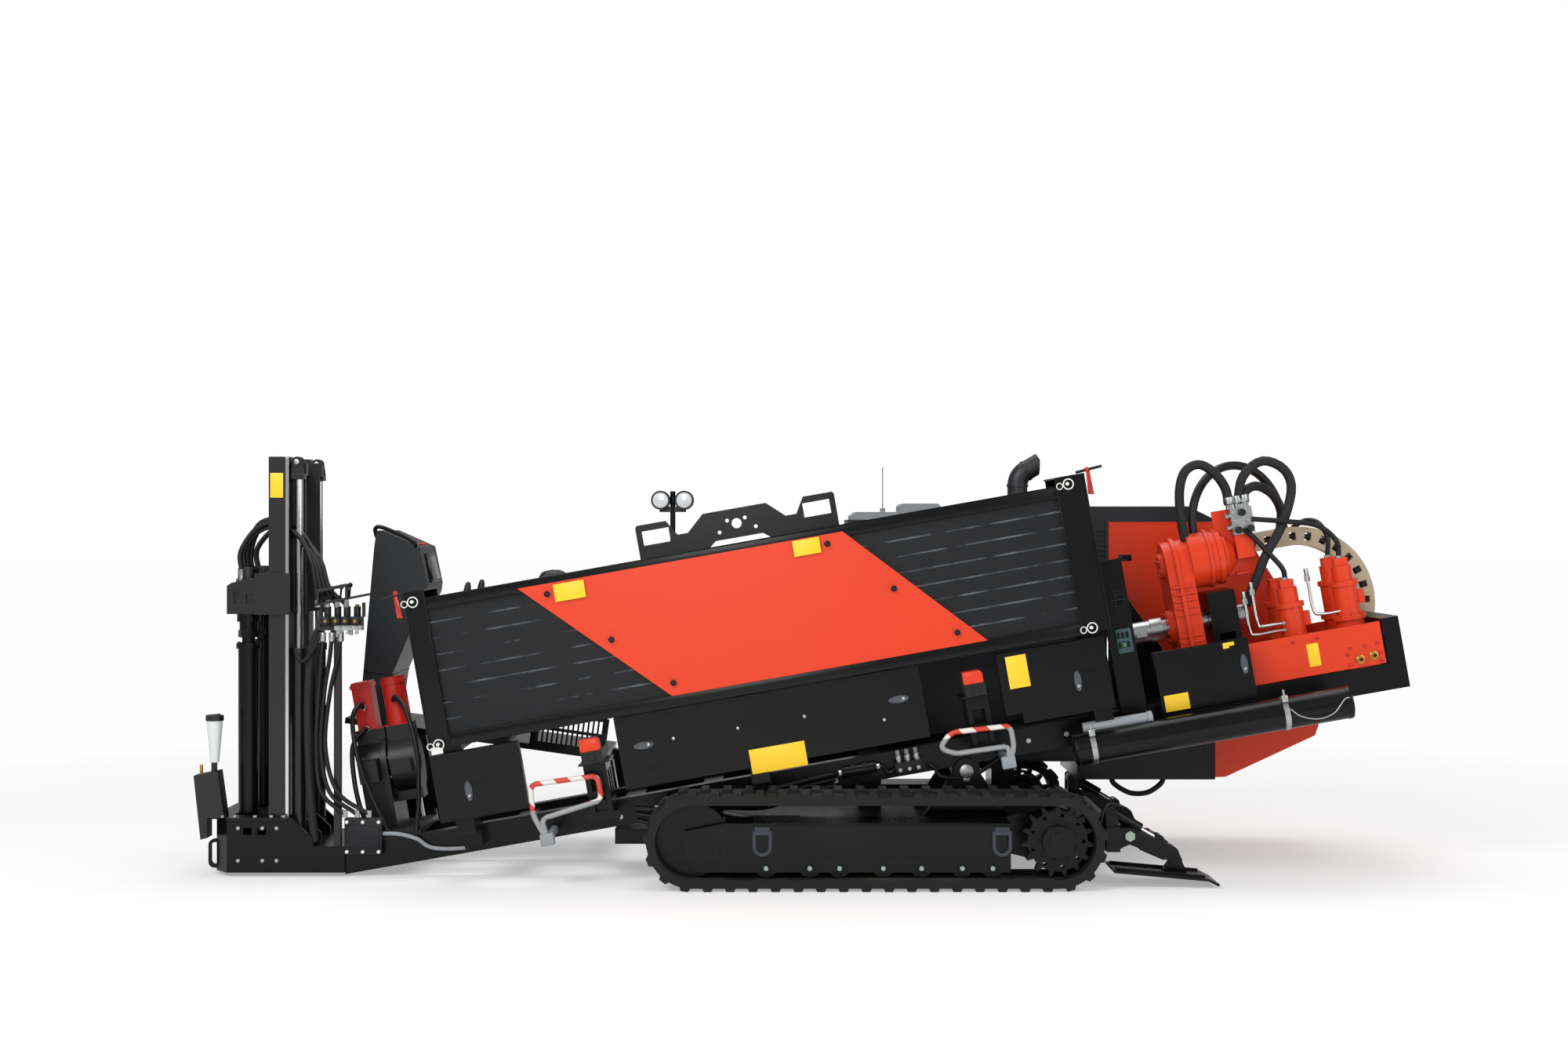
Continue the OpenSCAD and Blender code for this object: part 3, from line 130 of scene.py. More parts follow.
lamps = (("key lamp", (-5.5, -8.0, 7.5), 4.0, 600), ("fill lamp", (7.0, -6.0, 4.5), 6.0, 260),
         ("top lamp", (0.5, 2.0, 9.0), 7.0, 420), ("front lamp", (-1.0, -9.5, 3.2), 2.5, 150))
for name, place, size, power in lamps:
    lamp_data = bpy.data.lights.new(name, "AREA")
    lamp_data.size = size
    lamp_data.energy = power
    lamp = bpy.data.objects.new(name, lamp_data)
    lamp.location = place
    lamp.rotation_euler = (Vector((0, 0, 0.8)) - Vector(place)).to_track_quat("-Z", "Y").to_euler()
    bpy.context.collection.objects.link(lamp)


# Finishes of the CAD nodes: a base colour that drifts a little, road dust on ledges near the ground,
# fine peel and softened edges. A patch is a box of the node, in millimetres, with another finish, such
# as a chromed rod, and leans with the drill frame if tilt is set. PIN is the frame's pin, in metres.
PIN = (0.806, 0, 0.523)
TILT = radians(10)


def mix_colours(tree, factor, first, second):
    return add_node(tree, "ShaderNodeMix", {"data_type": "RGBA"}, in0=factor, in6=first,
                    in7=second).outputs[2]


def mix_values(tree, factor, first, second):
    return add_node(tree, "ShaderNodeMix", None, in0=factor, in2=first, in3=second).outputs[0]


def finish(name, colour, metallic=0.0, rough=0.4, dust=0.3, peel=0.05, grain=420.0, drift=0.86, patches=(),
           tilt=False, sheen=0.5):
    material, tree, shader = new_material(name)
    place = add_node(tree, "ShaderNodeTexCoord").outputs["Object"]
    settings = {"Scale": 3.0, "Detail": 5.0, "Roughness": 0.6}
    cloud = add_node(tree, "ShaderNodeTexNoise", settings, Vector=place).outputs["Fac"]
    speck = add_node(tree, "ShaderNodeTexNoise", {"Scale": grain, "Detail": 2.0}, Vector=place)
    facing = add_node(tree, "ShaderNodeNewGeometry").outputs["Normal"]
    up = add_node(tree, "ShaderNodeSeparateXYZ", None, Vector=facing).outputs["Z"]
    axes = add_node(tree, "ShaderNodeSeparateXYZ", None, Vector=place)
    ledge = ramp(tree, up, 0.3, 1.0, 0.05)
    near_ground = ramp(tree, axes.outputs["Z"], 0.0, 1.1, 1.0, 0.3)
    film = maths(tree, "MULTIPLY", ledge, near_ground)
    film = maths(tree, "MULTIPLY", film, ramp(tree, cloud, 0.4, 0.75))
    film = maths(tree, "MULTIPLY", film, dust)
    base = linear(colour)
    paint = mix_colours(tree, cloud, tuple(c * drift for c in base[:3]) + (1.0,), base)
    shine = ramp(tree, cloud, 0.0, 1.0, rough * 0.9, rough * 1.15)
    metal = metallic
    origin = (0, 0, 0)
    if tilt:
        origin = PIN
        turn = {"rotation_type": "Y_AXIS", "Angle": TILT, "Center": PIN}
        turned = add_node(tree, "ShaderNodeVectorRotate", turn, Vector=place).outputs[0]
        axes = add_node(tree, "ShaderNodeSeparateXYZ", None, Vector=turned)
    for low, high, other, other_metal, other_rough in patches:
        inside = 1.0
        for axis, a, b, zero in zip("XYZ", low, high, origin):
            test = maths(tree, "COMPARE", axes.outputs[axis], (a + b) / 2000 + zero, abs(b - a) / 2000)
            inside = maths(tree, "MULTIPLY", inside, test)
        paint = mix_colours(tree, inside, paint, linear(other))
        shine = mix_values(tree, inside, shine, other_rough)
        metal = mix_values(tree, inside, metal, other_metal)
    dirty = mix_colours(tree, film, paint, linear("#8b8378"))
    tree.links.new(dirty, shader.inputs["Base Color"])
    tree.links.new(mix_values(tree, film, shine, 0.85), shader.inputs["Roughness"])
    if patches:
        tree.links.new(metal, shader.inputs["Metallic"])
    else:
        shader.inputs["Metallic"].default_value = metallic
    shader.inputs["Specular IOR Level"].default_value = sheen
    edges = add_node(tree, "ShaderNodeBevel", {"samples": 4, "Radius": 0.0025}).outputs[0]
    settings = {"Strength": peel, "Distance": 0.0006}
    bump = add_node(tree, "ShaderNodeBump", settings, Height=speck.outputs["Fac"], Normal=edges)
    tree.links.new(bump.outputs["Normal"], shader.inputs["Normal"])
    return material


def finish_nodes(material, *names):
    for name in names:
        data = nodes[name].data
        data.materials.clear()
        data.materials.append(material)


black = finish("satin black paint", "#08090b", rough=0.25, dust=0.14, sheen=0.22)
orange = finish("orange-red gloss paint", "#d63a18", rough=0.33, dust=0.1, drift=0.95, sheen=0.3)
moulded = finish("dark grey moulded polyethylene", "#1d2024", rough=0.42, dust=0.12, peel=0.3, grain=260.0,
                 sheen=0.35)
pale_grey = finish("light grey powder coat", "#8d9296", rough=0.45, dust=0.1, peel=0.1)
casting = finish("dark phosphated casting", "#15161a", metallic=0.3, rough=0.45, dust=0.3, peel=0.4,
                 grain=180.0, sheen=0.4)
chrome = finish("polished hard chrome", "#d6d8da", metallic=1.0, rough=0.09, dust=0.05, peel=0.01)
zinc = finish("zinc-plated steel", "#b4b6b6", metallic=1.0, rough=0.32, dust=0.1, peel=0.08)
brass = finish("brass", "#b8924a", metallic=1.0, rough=0.3, dust=0.1, peel=0.03)
rubber = finish("black track rubber", "#121213", rough=0.7, dust=0.3, peel=0.6, grain=90.0, sheen=0.3)
hose_rubber = finish("ribbed hose rubber", "#0b0b0c", rough=0.45, dust=0.12, peel=0.3, grain=700.0,
                     sheen=0.35)
red_paint = finish("bright red gloss paint", "#b9221c", rough=0.25, dust=0.12)
yellow = finish("yellow vinyl sheet", "#f0c419", rough=0.4, dust=0.05, drift=0.96)
white = finish("white paint", "#e8e8e4", rough=0.4, dust=0.05)
finish_nodes(black, *nodes)
finish_nodes(orange, "hood", "hood_door", "orange_panel", "carriage_base", "gearbox", "thrust_drives")
finish_nodes(moulded, "hood_roof", "front_cowl", "console")
finish_nodes(pale_grey, "roof_boxes")
finish_nodes(casting, "engine", "shuttle_front", "shuttle_rear")
ring_boxes = []
for x in (-194, 942):
    for y in (-923, 923):
        ring_boxes.append(((x - 52, y - 7, 160), (x + 52, y + 7, 305), "#3b4046", 0.3, 0.3))
finish_nodes(finish("track frame, black with rubbed rings", "#08090b", rough=0.25, dust=0.14, sheen=0.22,
                    patches=ring_boxes), "track_frame_left", "track_frame_right")
finish_nodes(chrome, "tilt_rod", "foot_rod_left", "foot_rod_right")
finish_nodes(zinc, "spindle", "carriage_valves")
finish_nodes(rubber, "track_left", "track_right")
finish_nodes(hose_rubber, "carriage_hoses")
finish_nodes(finish("burnt exhaust steel", "#3a3b3d", metallic=0.8, rough=0.42, dust=0.1, peel=0.3),
             "exhaust")
finish_nodes(finish("sand nylon", "#b3a489", rough=0.5, dust=0.25, peel=0.2), "hose_carrier")
for side, y in (("left", -410.0), ("right", 50.0)):
    finish_nodes(finish("black paint with a chromed rod, " + side, "#0b0c0e", rough=0.33, dust=0.16,
                        patches=[((-2521, y - 21, 1000), (-2478, y + 21, 1958), "#d9dbdd", 1.0, 0.08)]),
                 "anchor_drive_" + side)
finish_nodes(finish("black paint with a bright slide strip", "#0b0c0e", rough=0.33, dust=0.16,
                    patches=[((-2557, -466, 280), (-2538, -459.5, 2080), "#c9cbcc", 1.0, 0.2)]), "masts")


# Perforated steel sheet of the pipe box: round holes of nearly 8 mm on a staggered 12 mm grid, punched
# before the sheet was sprayed black. The holes are near-black dots, painted shade of the box's inside seen
# through them, and lighter rows along the sheet are painted highlights of the pipes inside the box, seen
# through the holes.
hole_pitch, glint_pitch = 0.012, 0.078
material, tree, shader = new_material("perforated black sheet")
place = add_node(tree, "ShaderNodeTexCoord").outputs["Object"]
turn = {"rotation_type": "Y_AXIS", "Angle": TILT}
level_frame = add_node(tree, "ShaderNodeVectorRotate", turn, Vector=place).outputs[0]
across = add_node(tree, "ShaderNodeSeparateXYZ", None, Vector=level_frame)
flat_grid = add_node(tree, "ShaderNodeCombineXYZ", None, X=across.outputs["X"],
                     Y=across.outputs["Z"]).outputs[0]
turn = {"rotation_type": "Z_AXIS", "Angle": radians(45)}
turned = add_node(tree, "ShaderNodeVectorRotate", turn, Vector=flat_grid).outputs[0]
dots = {"voronoi_dimensions": "2D", "Scale": 1 / hole_pitch, "Randomness": 0.0}
holes = add_node(tree, "ShaderNodeTexVoronoi", dots, Vector=turned).outputs["Distance"]
edge = ramp(tree, holes, 0.27, 0.37)
# The near-black of the holes is painted shade of the box's inside.
web = mix_colours(tree, edge, linear("#010101"), linear("#15171a"))
# Painted highlights: lighter rows every 78 mm stand for the pipes inside the box, seen through the holes,
# and they are patchy along the sheet.
pipe_glints = maths(tree, "MULTIPLY", across.outputs["Z"], 1 / glint_pitch)
pipe_glints = maths(tree, "GREATER_THAN", maths(tree, "FRACT", pipe_glints), 0.9)
glint_patches = add_node(tree, "ShaderNodeTexNoise", {"Scale": 7.0, "Detail": 3.0}, Vector=place).outputs["Fac"]
pipe_glints = maths(tree, "MULTIPLY", pipe_glints, ramp(tree, glint_patches, 0.45, 0.7))
web = mix_colours(tree, pipe_glints, web, linear("#5b6066"))
tree.links.new(web, shader.inputs["Base Color"])
shader.inputs["Specular IOR Level"].default_value = 0.25
dip = add_node(tree, "ShaderNodeBump", {"Strength": 0.7, "Distance": 0.001}, Height=edge)
tree.links.new(dip.outputs["Normal"], shader.inputs["Normal"])
shader.inputs["Roughness"].default_value = 0.4
finish_nodes(material, "pipe_box_panels")

# Shape helpers. Pieces are drawn in millimetres: WORLD is the machine's own axes, FRAME the tilted drill
# frame (u along it, w square to it), STATION the operator's deck, and AT_VIEWER turns a lathed shape's
# axis to the near side.
WORLD = Matrix.Scale(0.001, 4)
FRAME = Matrix.Translation(PIN) @ Matrix.Rotation(-TILT, 4, "Y") @ WORLD
STATION = Matrix.Translation((-2.3, 0, 0.705)) @ Matrix.Rotation(radians(8), 4, "Y") @ WORLD
AT_VIEWER = Matrix.Rotation(pi / 2, 4, "X")


def soften(mesh, edges, width):
    if width:
        bmesh.ops.bevel(mesh, geom=list(edges), offset=width, segments=2, profile=0.5, affect="EDGES",
                        material=-1)


def box(mesh, low, high, soft=2.0):
    low, high = Vector(low), Vector(high)
    place = Matrix.Translation((low + high) / 2) @ Matrix.Diagonal(high - low).to_4x4()
    made = bmesh.ops.create_cube(mesh, size=1, matrix=place)
    soften(mesh, {e for v in made["verts"] for e in v.link_edges}, soft)


def rod(mesh, start, end, radius, tip=None, sides=24, soft=0.0):
    start, end = Vector(start), Vector(end)
    turn = (end - start).to_track_quat("Z", "Y").to_matrix().to_4x4()
    place = Matrix.Translation((start + end) / 2) @ turn
    tip = radius if tip is None else tip
    made = bmesh.ops.create_cone(mesh, cap_ends=True, segments=sides, radius1=radius, radius2=tip,
                                 depth=(end - start).length, matrix=place)
    edges = {e for v in made["verts"] for e in v.link_edges}
    soften(mesh, {e for e in edges if any(len(f.verts) == sides for f in e.link_faces)}, soft)


def lathe(mesh, profile, place, sides=32):
    points = [mesh.verts.new((r, 0, h)) for r, h in profile]
    lines = [mesh.edges.new(pair) for pair in zip(points, points[1:])]
    made = bmesh.ops.spin(mesh, geom=points + lines, cent=(0, 0, 0), axis=(0, 0, 1), angle=2 * pi,
                          steps=sides, use_merge=True)
    turned = {v for g in made["geom_last"] for v in (g.verts if isinstance(g, bmesh.types.BMEdge) else [g])}
    stack, found = list(turned | set(points)), set()
    while stack:
        vert = stack.pop()
        if vert not in found and vert.is_valid:
            found.add(vert)
            stack += [e.other_vert(vert) for e in vert.link_edges]
    bmesh.ops.transform(mesh, matrix=place, verts=list(found))


def outline(mesh, points, y0, y1, soft=2.0):
    face = mesh.faces.new([mesh.verts.new((x, y0, z)) for x, z in points])
    made = bmesh.ops.extrude_face_region(mesh, geom=[face])
    new = [g for g in made["geom"] if isinstance(g, bmesh.types.BMVert)]
    bmesh.ops.translate(mesh, verts=new, vec=(0, y1 - y0, 0))
    soften(mesh, {e for v in new for e in v.link_edges} | set(face.edges if face.is_valid else []), soft)


def piece(name, mesh, material, body, where=WORLD, crease=38):
    bmesh.ops.transform(mesh, matrix=where, verts=mesh.verts[:])
    bmesh.ops.recalc_face_normals(mesh, faces=mesh.faces[:])
    data = bpy.data.meshes.new(name)
    mesh.to_mesh(data)
    mesh.free()
    data.polygons.foreach_set("use_smooth", [True] * len(data.polygons))
    data.set_sharp_from_angle(angle=radians(crease))
    data.materials.append(material)
    made = bpy.data.objects.new(name, data)
    bpy.context.collection.objects.link(made)
    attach(made, body)
    return made


def bend_through(points, where, count=36):
    knots = [where @ Vector(p) for p in points]
    knots = [2 * knots[0] - knots[1]] + knots + [2 * knots[-1] - knots[-2]]
    line = []
    spans = len(knots) - 3
    for step in range(count):
        t = step / (count - 1) * spans
        i = min(int(t), spans - 1)
        a, b, c, d = knots[i:i + 4]
        t -= i
        square, cube = 2 * a - 5 * b + 4 * c - d, 3 * b - a - 3 * c + d
        line.append(0.5 * (2 * b + (c - a) * t + square * t ** 2 + cube * t ** 3))
    return line


# Hoses: one helper lays a smooth line through a few points and turns it into a tube. A hose whose ends are
# on two bodies is left in place, on neither body.
def hose(name, points, radius, material, body, where=WORLD, to=None, count=36):
    line = bend_through(points, where, count)
    curve = bpy.data.curves.new(name, "CURVE")
    curve.dimensions = "3D"
    curve.bevel_depth = radius / 1000
    curve.bevel_resolution = 4
    curve.use_fill_caps = True
    spline = curve.splines.new("POLY")
    spline.points.add(len(line) - 1)
    for point, place in zip(spline.points, line):
        point.co = (*place, 1)
    drawn = bpy.data.objects.new(name, curve)
    data = bpy.data.meshes.new_from_object(drawn)
    data.name = name
    bpy.data.objects.remove(drawn)
    data.materials.clear()
    data.materials.append(material)
    data.polygons.foreach_set("use_smooth", [True] * len(data.polygons))
    data.set_sharp_from_angle(angle=radians(50))
    made = bpy.data.objects.new(name, data)
    bpy.context.collection.objects.link(made)
    if to:
        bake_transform(made)
    else:
        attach(made, body)


# Hoses of the anchor drives: black hoses rise from each motor in an arc over the mast and drop to the valve
# bank.
sleeve = finish("woven nylon hose sleeve", "#0d0d0f", rough=0.7, dust=0.15, peel=0.9, grain=900.0)
for n, (y, top) in enumerate(((-372, 1742), (-352, 1722), (-332, 1760), (-300, 1736))):
    rise = [(-2795 + n * 12, y, 1500), (-2800 + n * 12, y, 1600), (-2720, y - 10, top - 28),
            (-2620, y - 26, top)]
    fall = [(-2500, y - 66 + n * 8, top - 60), (-2420 + n * 14, -500 + n * 4, 1560),
            (-2395 + n * 22, -508, 1420), (-2385 + n * 46, -512, 1344)]
    hose("anchor_hose_%d" % (n + 1), rise + fall, 12, hose_rubber, "anchor_drive_left", to="drill_frame")
for n, y in enumerate((-60, -30)):
    rise = [(-2790, y, 1500), (-2796, y, 1610), (-2700, y, 1716), (-2590, y - 40, 1700)]
    fall = [(-2470, y - 130, 1560), (-2420 + n * 20, y - 210, 1420), (-2400 + n * 20, -330, 1300)]
    hose("anchor_hose_%d" % (n + 5), rise + fall, 11, hose_rubber, "anchor_drive_right", to="drill_frame")

# Hoses that drop from the valve bank to the base: one woven sleeve, and three loose hoses beside it.
# Zinc ferrules hold the ends of these and of the left drive's hoses.
hose("bank_sleeve",
     [(-2388, -480, 1214), (-2426, -474, 1090), (-2440, -476, 860), (-2436, -478, 600), (-2428, -476, 380),
      (-2410, -470, 170)], 22, sleeve, "drill_frame")
for n in range(3):
    points = [(-2360 + n * 44, -512, 1190), (-2366 + n * 40, -516, 1080),
              (-2380 + n * 26, -520 + n * 8, 900), (-2392 + n * 22, -514, 640), (-2366 + n * 40, -520, 420),
              (-2250 + n * 60, -522, 310)]
    hose("bank_hose_%d" % (n + 1), points, 11, hose_rubber, "drill_frame")
ferrules = bmesh.new()
for n in range(4):
    rod(ferrules, (-2385 + n * 46, -512, 1328), (-2385 + n * 46, -512, 1362), 15, sides=6)
for n in range(3):
    rod(ferrules, (-2360 + n * 44, -512, 1160), (-2360 + n * 44, -512, 1204), 15, soft=1)
    rod(ferrules, (-2250 + n * 60, -522, 296), (-2250 + n * 60, -522, 330), 14, sides=6)
piece("bank_ferrules", ferrules, zinc, "drill_frame")

# Thick sleeved hoses between the rotation motor, the water swivel and the hose carrier: two loops
# stand up in a heart shape over the carriage, and a third runs back to the carrier. Thinner hoses
# feed the thrust motors.
carriage_runs = (((1560, -222, 1058), (1552, -228, 1150), (1506, -230, 1236), (1440, -228, 1284),
                  (1366, -226, 1258), (1322, -226, 1159), (1308, -224, 1010), (1312, -216, 896)),
                 ((1604, -222, 1058), (1650, -232, 1184), (1756, -240, 1246), (1856, -240, 1190),
                  (1880, -240, 1081), (1800, -250, 912), (1690, -272, 780), (1616, -270, 660),
                  (1572, -238, 576), (1560, -214, 546)),
                 ((1638, -222, 1058), (1656, -206, 1110), (1730, -150, 1124), (1820, -50, 1070),
                  (1876, 60, 980), (1870, 110, 890)))
for n, points in enumerate(carriage_runs):
    hose("carriage_hose_%d" % (n + 1), points, 24, sleeve, "carriage", FRAME)
thrust_runs = (((1755, -300, 640), (1750, -306, 700), (1690, -290, 800), (1640, -268, 880),
                (1600, -262, 925)),
               ((2040, -300, 700), (2040, -306, 790), (1960, -300, 880), (1800, -290, 930),
                (1650, -270, 968)),
               ((2040, -70, 700), (2060, -60, 800), (2040, 0, 880), (1990, 60, 900), (1930, 100, 874)))
for n, points in enumerate(thrust_runs):
    hose("thrust_hose_%d" % (n + 1), points, 13, hose_rubber, "carriage", FRAME)

# Hoses of the wrenches, the stabilizers and the engine's drain, all plain rubber.
vise_runs = (((-2920, -264, 810), (-2930, -300, 830), (-2960, -380, 760), (-2950, -450, 560),
              (-2900, -470, 330), (-2860, -486, 200)),
             ((-2920, -262, 700), (-2940, -300, 690), (-2985, -380, 620), (-2990, -440, 420),
              (-2960, -470, 260), (-2900, -486, 180)),
             ((-2765, -262, 820), (-2736, -330, 836), (-2680, -420, 760), (-2650, -486, 560),
              (-2680, -500, 330), (-2720, -494, 180)))
for n, points in enumerate(vise_runs):
    hose("vise_hose_%d" % (n + 1), points, 12, hose_rubber, "drill_frame", FRAME)
hose("drain_hose",
     [(1640, 300, 396), (1660, 296, 360), (1740, 290, 316), (1830, 290, 318), (1900, 300, 360),
      (1920, 304, 396)], 14, hose_rubber, "machine")
for n in range(2):
    hose("stabilizer_hose_%d" % (n + 1),
         [(1452, -760 + n * 20, 225), (1430, -764 + n * 20, 300), (1470, -766 + n * 20, 392),
          (1530, -760 + n * 20, 380)], 8, hose_rubber, "machine", count=20)

# Orange panel of the pipe box: six dark dome-headed screws in rubber washers, and blank yellow
# sheet plates where a working machine has its notices.
screws = bmesh.new()
for u, w in ((-1843, 1219), (-486, 1223), (-1579, 952), (-1323, 698), (-210, 958), (52, 699)):
    rod(screws, (u, -846, w), (u, -850, w), 15, soft=1)
    rod(screws, (u, -850, w), (u, -858, w), 10, tip=7, soft=1)
piece("panel_screws", screws, casting, "drill_frame", FRAME)
plates = bmesh.new()
for u, w, wide, high, y in ((-1735, 1216, 148, 84, -846), (-585, 1226, 130, 76, -846),
                            (-893, 256, 270, 118, -803.6), (307, 462, 100, 156, -803.6)):
    box(plates, (u - wide / 2, y - 1.6, w - high / 2), (u + wide / 2, y + 0.4, w + high / 2), 0.4)
piece("frame_plates", plates, yellow, "drill_frame", FRAME)
sheets = (("door_plates", "valve_door", FRAME, (((1004, -617.4, 124), (1124, -615.5, 204)),
                                                ((1330, -617.4, 380), (1386, -615.5, 408)))),
          ("tray_plate", "carriage", FRAME, (((1762, -481.6, 205), (1820, -479.5, 318)),)),
          ("mast_plate", "drill_frame", WORLD, (((-2632, -461.6, 1868), (-2568, -459.5, 1990)),)))
for name, body, where, corners in sheets:
    plates = bmesh.new()
    for low, high in corners:
        box(plates, low, high, 0.4)
    piece(name, plates, yellow, body, where)

# Pipe box: folded edge rails, ring pins that lock the end gates, and the red-tagged retention rods
# that stop the pipes at each end.
rails = bmesh.new()
for w0, y1, w1 in ((1247, -830.2, 1303), (1297, -784, 1301), (582, -830.2, 636)):
    box(rails, (-2426, -834, w0), (640, y1, w1), 1)
for u in (-2426, 632):
    rod(rails, (u, -834, 1270), (u, -842, 1270), 9, sides=6)
for u in (-2523, -2427, 640, 777):
    box(rails, (u - 3, -838, 590), (u + 3, -829.8, 1336), 1)
piece("box_edges", rails, black, "drill_frame", FRAME)


def ring(mesh, radius, thick, place, sides):
    turns = [k * pi / 4 for k in range(9)]
    lathe(mesh, [(radius + thick * cos(a), thick * sin(a)) for a in turns], place, sides)


pins = bmesh.new()
for u, w in ((-2484, 1294), (690, 1306), (684, 612), (-2479, 604)):
    rod(pins, (u, -828, w), (u, -862, w), 8, soft=1.5)
    ring(pins, 24, 3, Matrix.Translation((u + 4, -856, w - 2)) @ AT_VIEWER, 28)
    leaning = Matrix.Translation((u - 38, -852, w - 6)) @ AT_VIEWER @ Matrix.Rotation(0.3, 4, "Y")
    ring(pins, 15, 2.5, leaning, 24)
piece("ring_pins", pins, white, "drill_frame", FRAME)
tags = bmesh.new()
for u, w, lean in ((-2560, 1300, -1), (800, 1310, 1)):
    top = u + 4 * lean
    corners = [(u - 14, w - 70), (u + 14, w - 76), (top + 8, w + 40), (top - 10, w + 44)]
    outline(tags, corners, -812, -806, 1.5)
    rod(tags, (u, -809, w + 40), (u - 4, -809, w + 58), 11, soft=2)
piece("retention_tags", tags, red_paint, "drill_frame", FRAME)
bars = bmesh.new()
rod(bars, (744, -809, 1352), (872, -809, 1362), 7, soft=1)
rod(bars, (-2518, -809, 1342), (-2640, -809, 1330), 7, soft=1)
piece("retention_rods", bars, casting, "drill_frame", FRAME)

# Tool tube: plastic pipe with a flanged cap, two pressed zinc band clamps with bolts, a lanyard, and the
# grey spare tube that lies on top of it.
tube_y, tube_w = -740, 35
bands = bmesh.new()
for u in (592, 1530):
    rod(bands, (u, tube_y, tube_w), (u + 26, tube_y, tube_w), 80.5, sides=48)
    box(bands, (u - 2, -812, 96), (u + 28, -786, 128), 3)
    rod(bands, (u + 13, -800, 120), (u + 13, -800, 156), 6, sides=6)
piece("tube_bands", bands, zinc, "drill_frame", FRAME)
cap = bmesh.new()
rod(cap, (1838, tube_y, tube_w), (1866, tube_y, tube_w), 79.5, sides=48, soft=5)
rod(cap, (518, tube_y, tube_w), (534, tube_y, tube_w), 79.5, sides=48, soft=3)
piece("tube_caps", cap, black, "drill_frame", FRAME)
spare = bmesh.new()
rod(spare, (576, -722, 132), (910, -722, 128), 26, soft=3)
rod(spare, (890, -722, 128), (916, -722, 128), 31, soft=3)
piece("spare_tube", spare, pale_grey, "drill_frame", FRAME)
points = [(1560, -815, 60), (1600, -820, 20), (1680, -822, -8), (1760, -822, 6), (1820, -820, 60),
          (1846, -818, 66)]
hose("cap_lanyard", points, 3, zinc, "drill_frame", FRAME)

# Paddle latches of the covers and the door: a grey die-cast oval dish with a zinc barrel lock.
latch_grey = finish("grey die-cast latch", "#4a4e53", metallic=0.2, rough=0.4, dust=0.1)
latches = (("drill_frame", ((-2381, 356, -801, True),)),
           ("long_cover", ((-1518, 425, -801, False), (-278, 431, -801, False))),
           ("rear_cover", ((583, 367, -801, True),)), ("valve_door", ((1418, 291, -616, True),)))
for body, places in latches:
    locks = bmesh.new()
    dishes = bmesh.new()
    for u, w, y, upright in places:
        squeeze = Matrix.Diagonal((0.38, 1, 1, 1) if upright else (1, 0.38, 1, 1))
        turned = Matrix.Translation((u, y - 4, w)) @ AT_VIEWER @ squeeze
        lathe(dishes, [(0.5, 1), (40, 1), (46, 4), (50, 0)], turned, 32)
        lock_u, lock_w = (u, w - 24) if upright else (u + 24, w)
        rod(locks, (lock_u, y - 4, lock_w), (lock_u, y - 11, lock_w), 8, soft=1)
    piece(body + "_latch", dishes, latch_grey, body, FRAME)
    piece(body + "_lock", locks, zinc, body, FRAME)

# Carriage tray: two brass couplings, and red-headed screws around the plate.
ports = bmesh.new()
for u, w in ((2013, 201), (2081, 209)):
    stepped = [(22, 0), (22, 10), (16, 12), (16, 24), (9, 24), (9, 6)]
    lathe(ports, stepped, Matrix.Translation((u, -480, w)) @ AT_VIEWER)
piece("tray_couplings", ports, brass, "carriage", FRAME)
heads = bmesh.new()
for u, w in ((1955, 232), (1960, 182), (1972, 262), (2046, 262), (2110, 266), (2120, 218), (2118, 176),
             (1700, 340), (1820, 340)):
    rod(heads, (u, -479.5, w), (u, -486, w), 9, sides=6)
piece("tray_screws", heads, red_paint, "carriage", FRAME)

# Steel pipes of the thrust motors: 16 mm bright pipe bent along the tray, held in nuts.
bends = (((1700, -330, 395), (1560, -340, 395), (1530, -342, 420), (1528, -342, 560)),
         ((1700, -330, 430), (1600, -338, 432), (1575, -340, 450), (1572, -340, 600)),
         ((2000, -330, 440), (1900, -342, 442), (1860, -344, 470), (1856, -344, 620)))
for n, points in enumerate(bends):
    hose("thrust_pipe_%d" % (n + 1), points, 8, chrome, "carriage", FRAME)
nuts = bmesh.new()
for u, w in ((1528, 560), (1572, 600), (1856, 620)):
    rod(nuts, (u, -343, w - 4), (u, -343, w + 24), 15, sides=6)
    rod(nuts, (u, -343, w + 24), (u, -343, w + 60), 11, soft=1.5)
for u, w in ((1700, 395), (1700, 430), (2000, 440)):
    rod(nuts, (u - 4, -330, w), (u + 22, -330, w), 14, sides=6)
piece("thrust_nuts", nuts, zinc, "carriage", FRAME)

# Carriage valve blocks: black solenoid coils, and zinc hose ends with hex swages.
coils = bmesh.new()
for u, w in ((1575, 925), (1635, 925), (1605, 1010)):
    rod(coils, (u, -272, w), (u, -296, w), 18, soft=2)
piece("carriage_coils", coils, casting, "carriage", FRAME)
ends = bmesh.new()
for u in (1560, 1604, 1638):
    rod(ends, (u, -222, 1034), (u, -222, 1062), 20, sides=6)
    rod(ends, (u, -222, 1060), (u, -222, 1096), 27, soft=2)
for u, y, w in ((1755, -300, 612), (2040, -300, 672), (2040, -70, 672)):
    rod(ends, (u, y, w), (u, y, w + 40), 17, sides=6)
piece("carriage_hose_ends", ends, zinc, "carriage", FRAME)

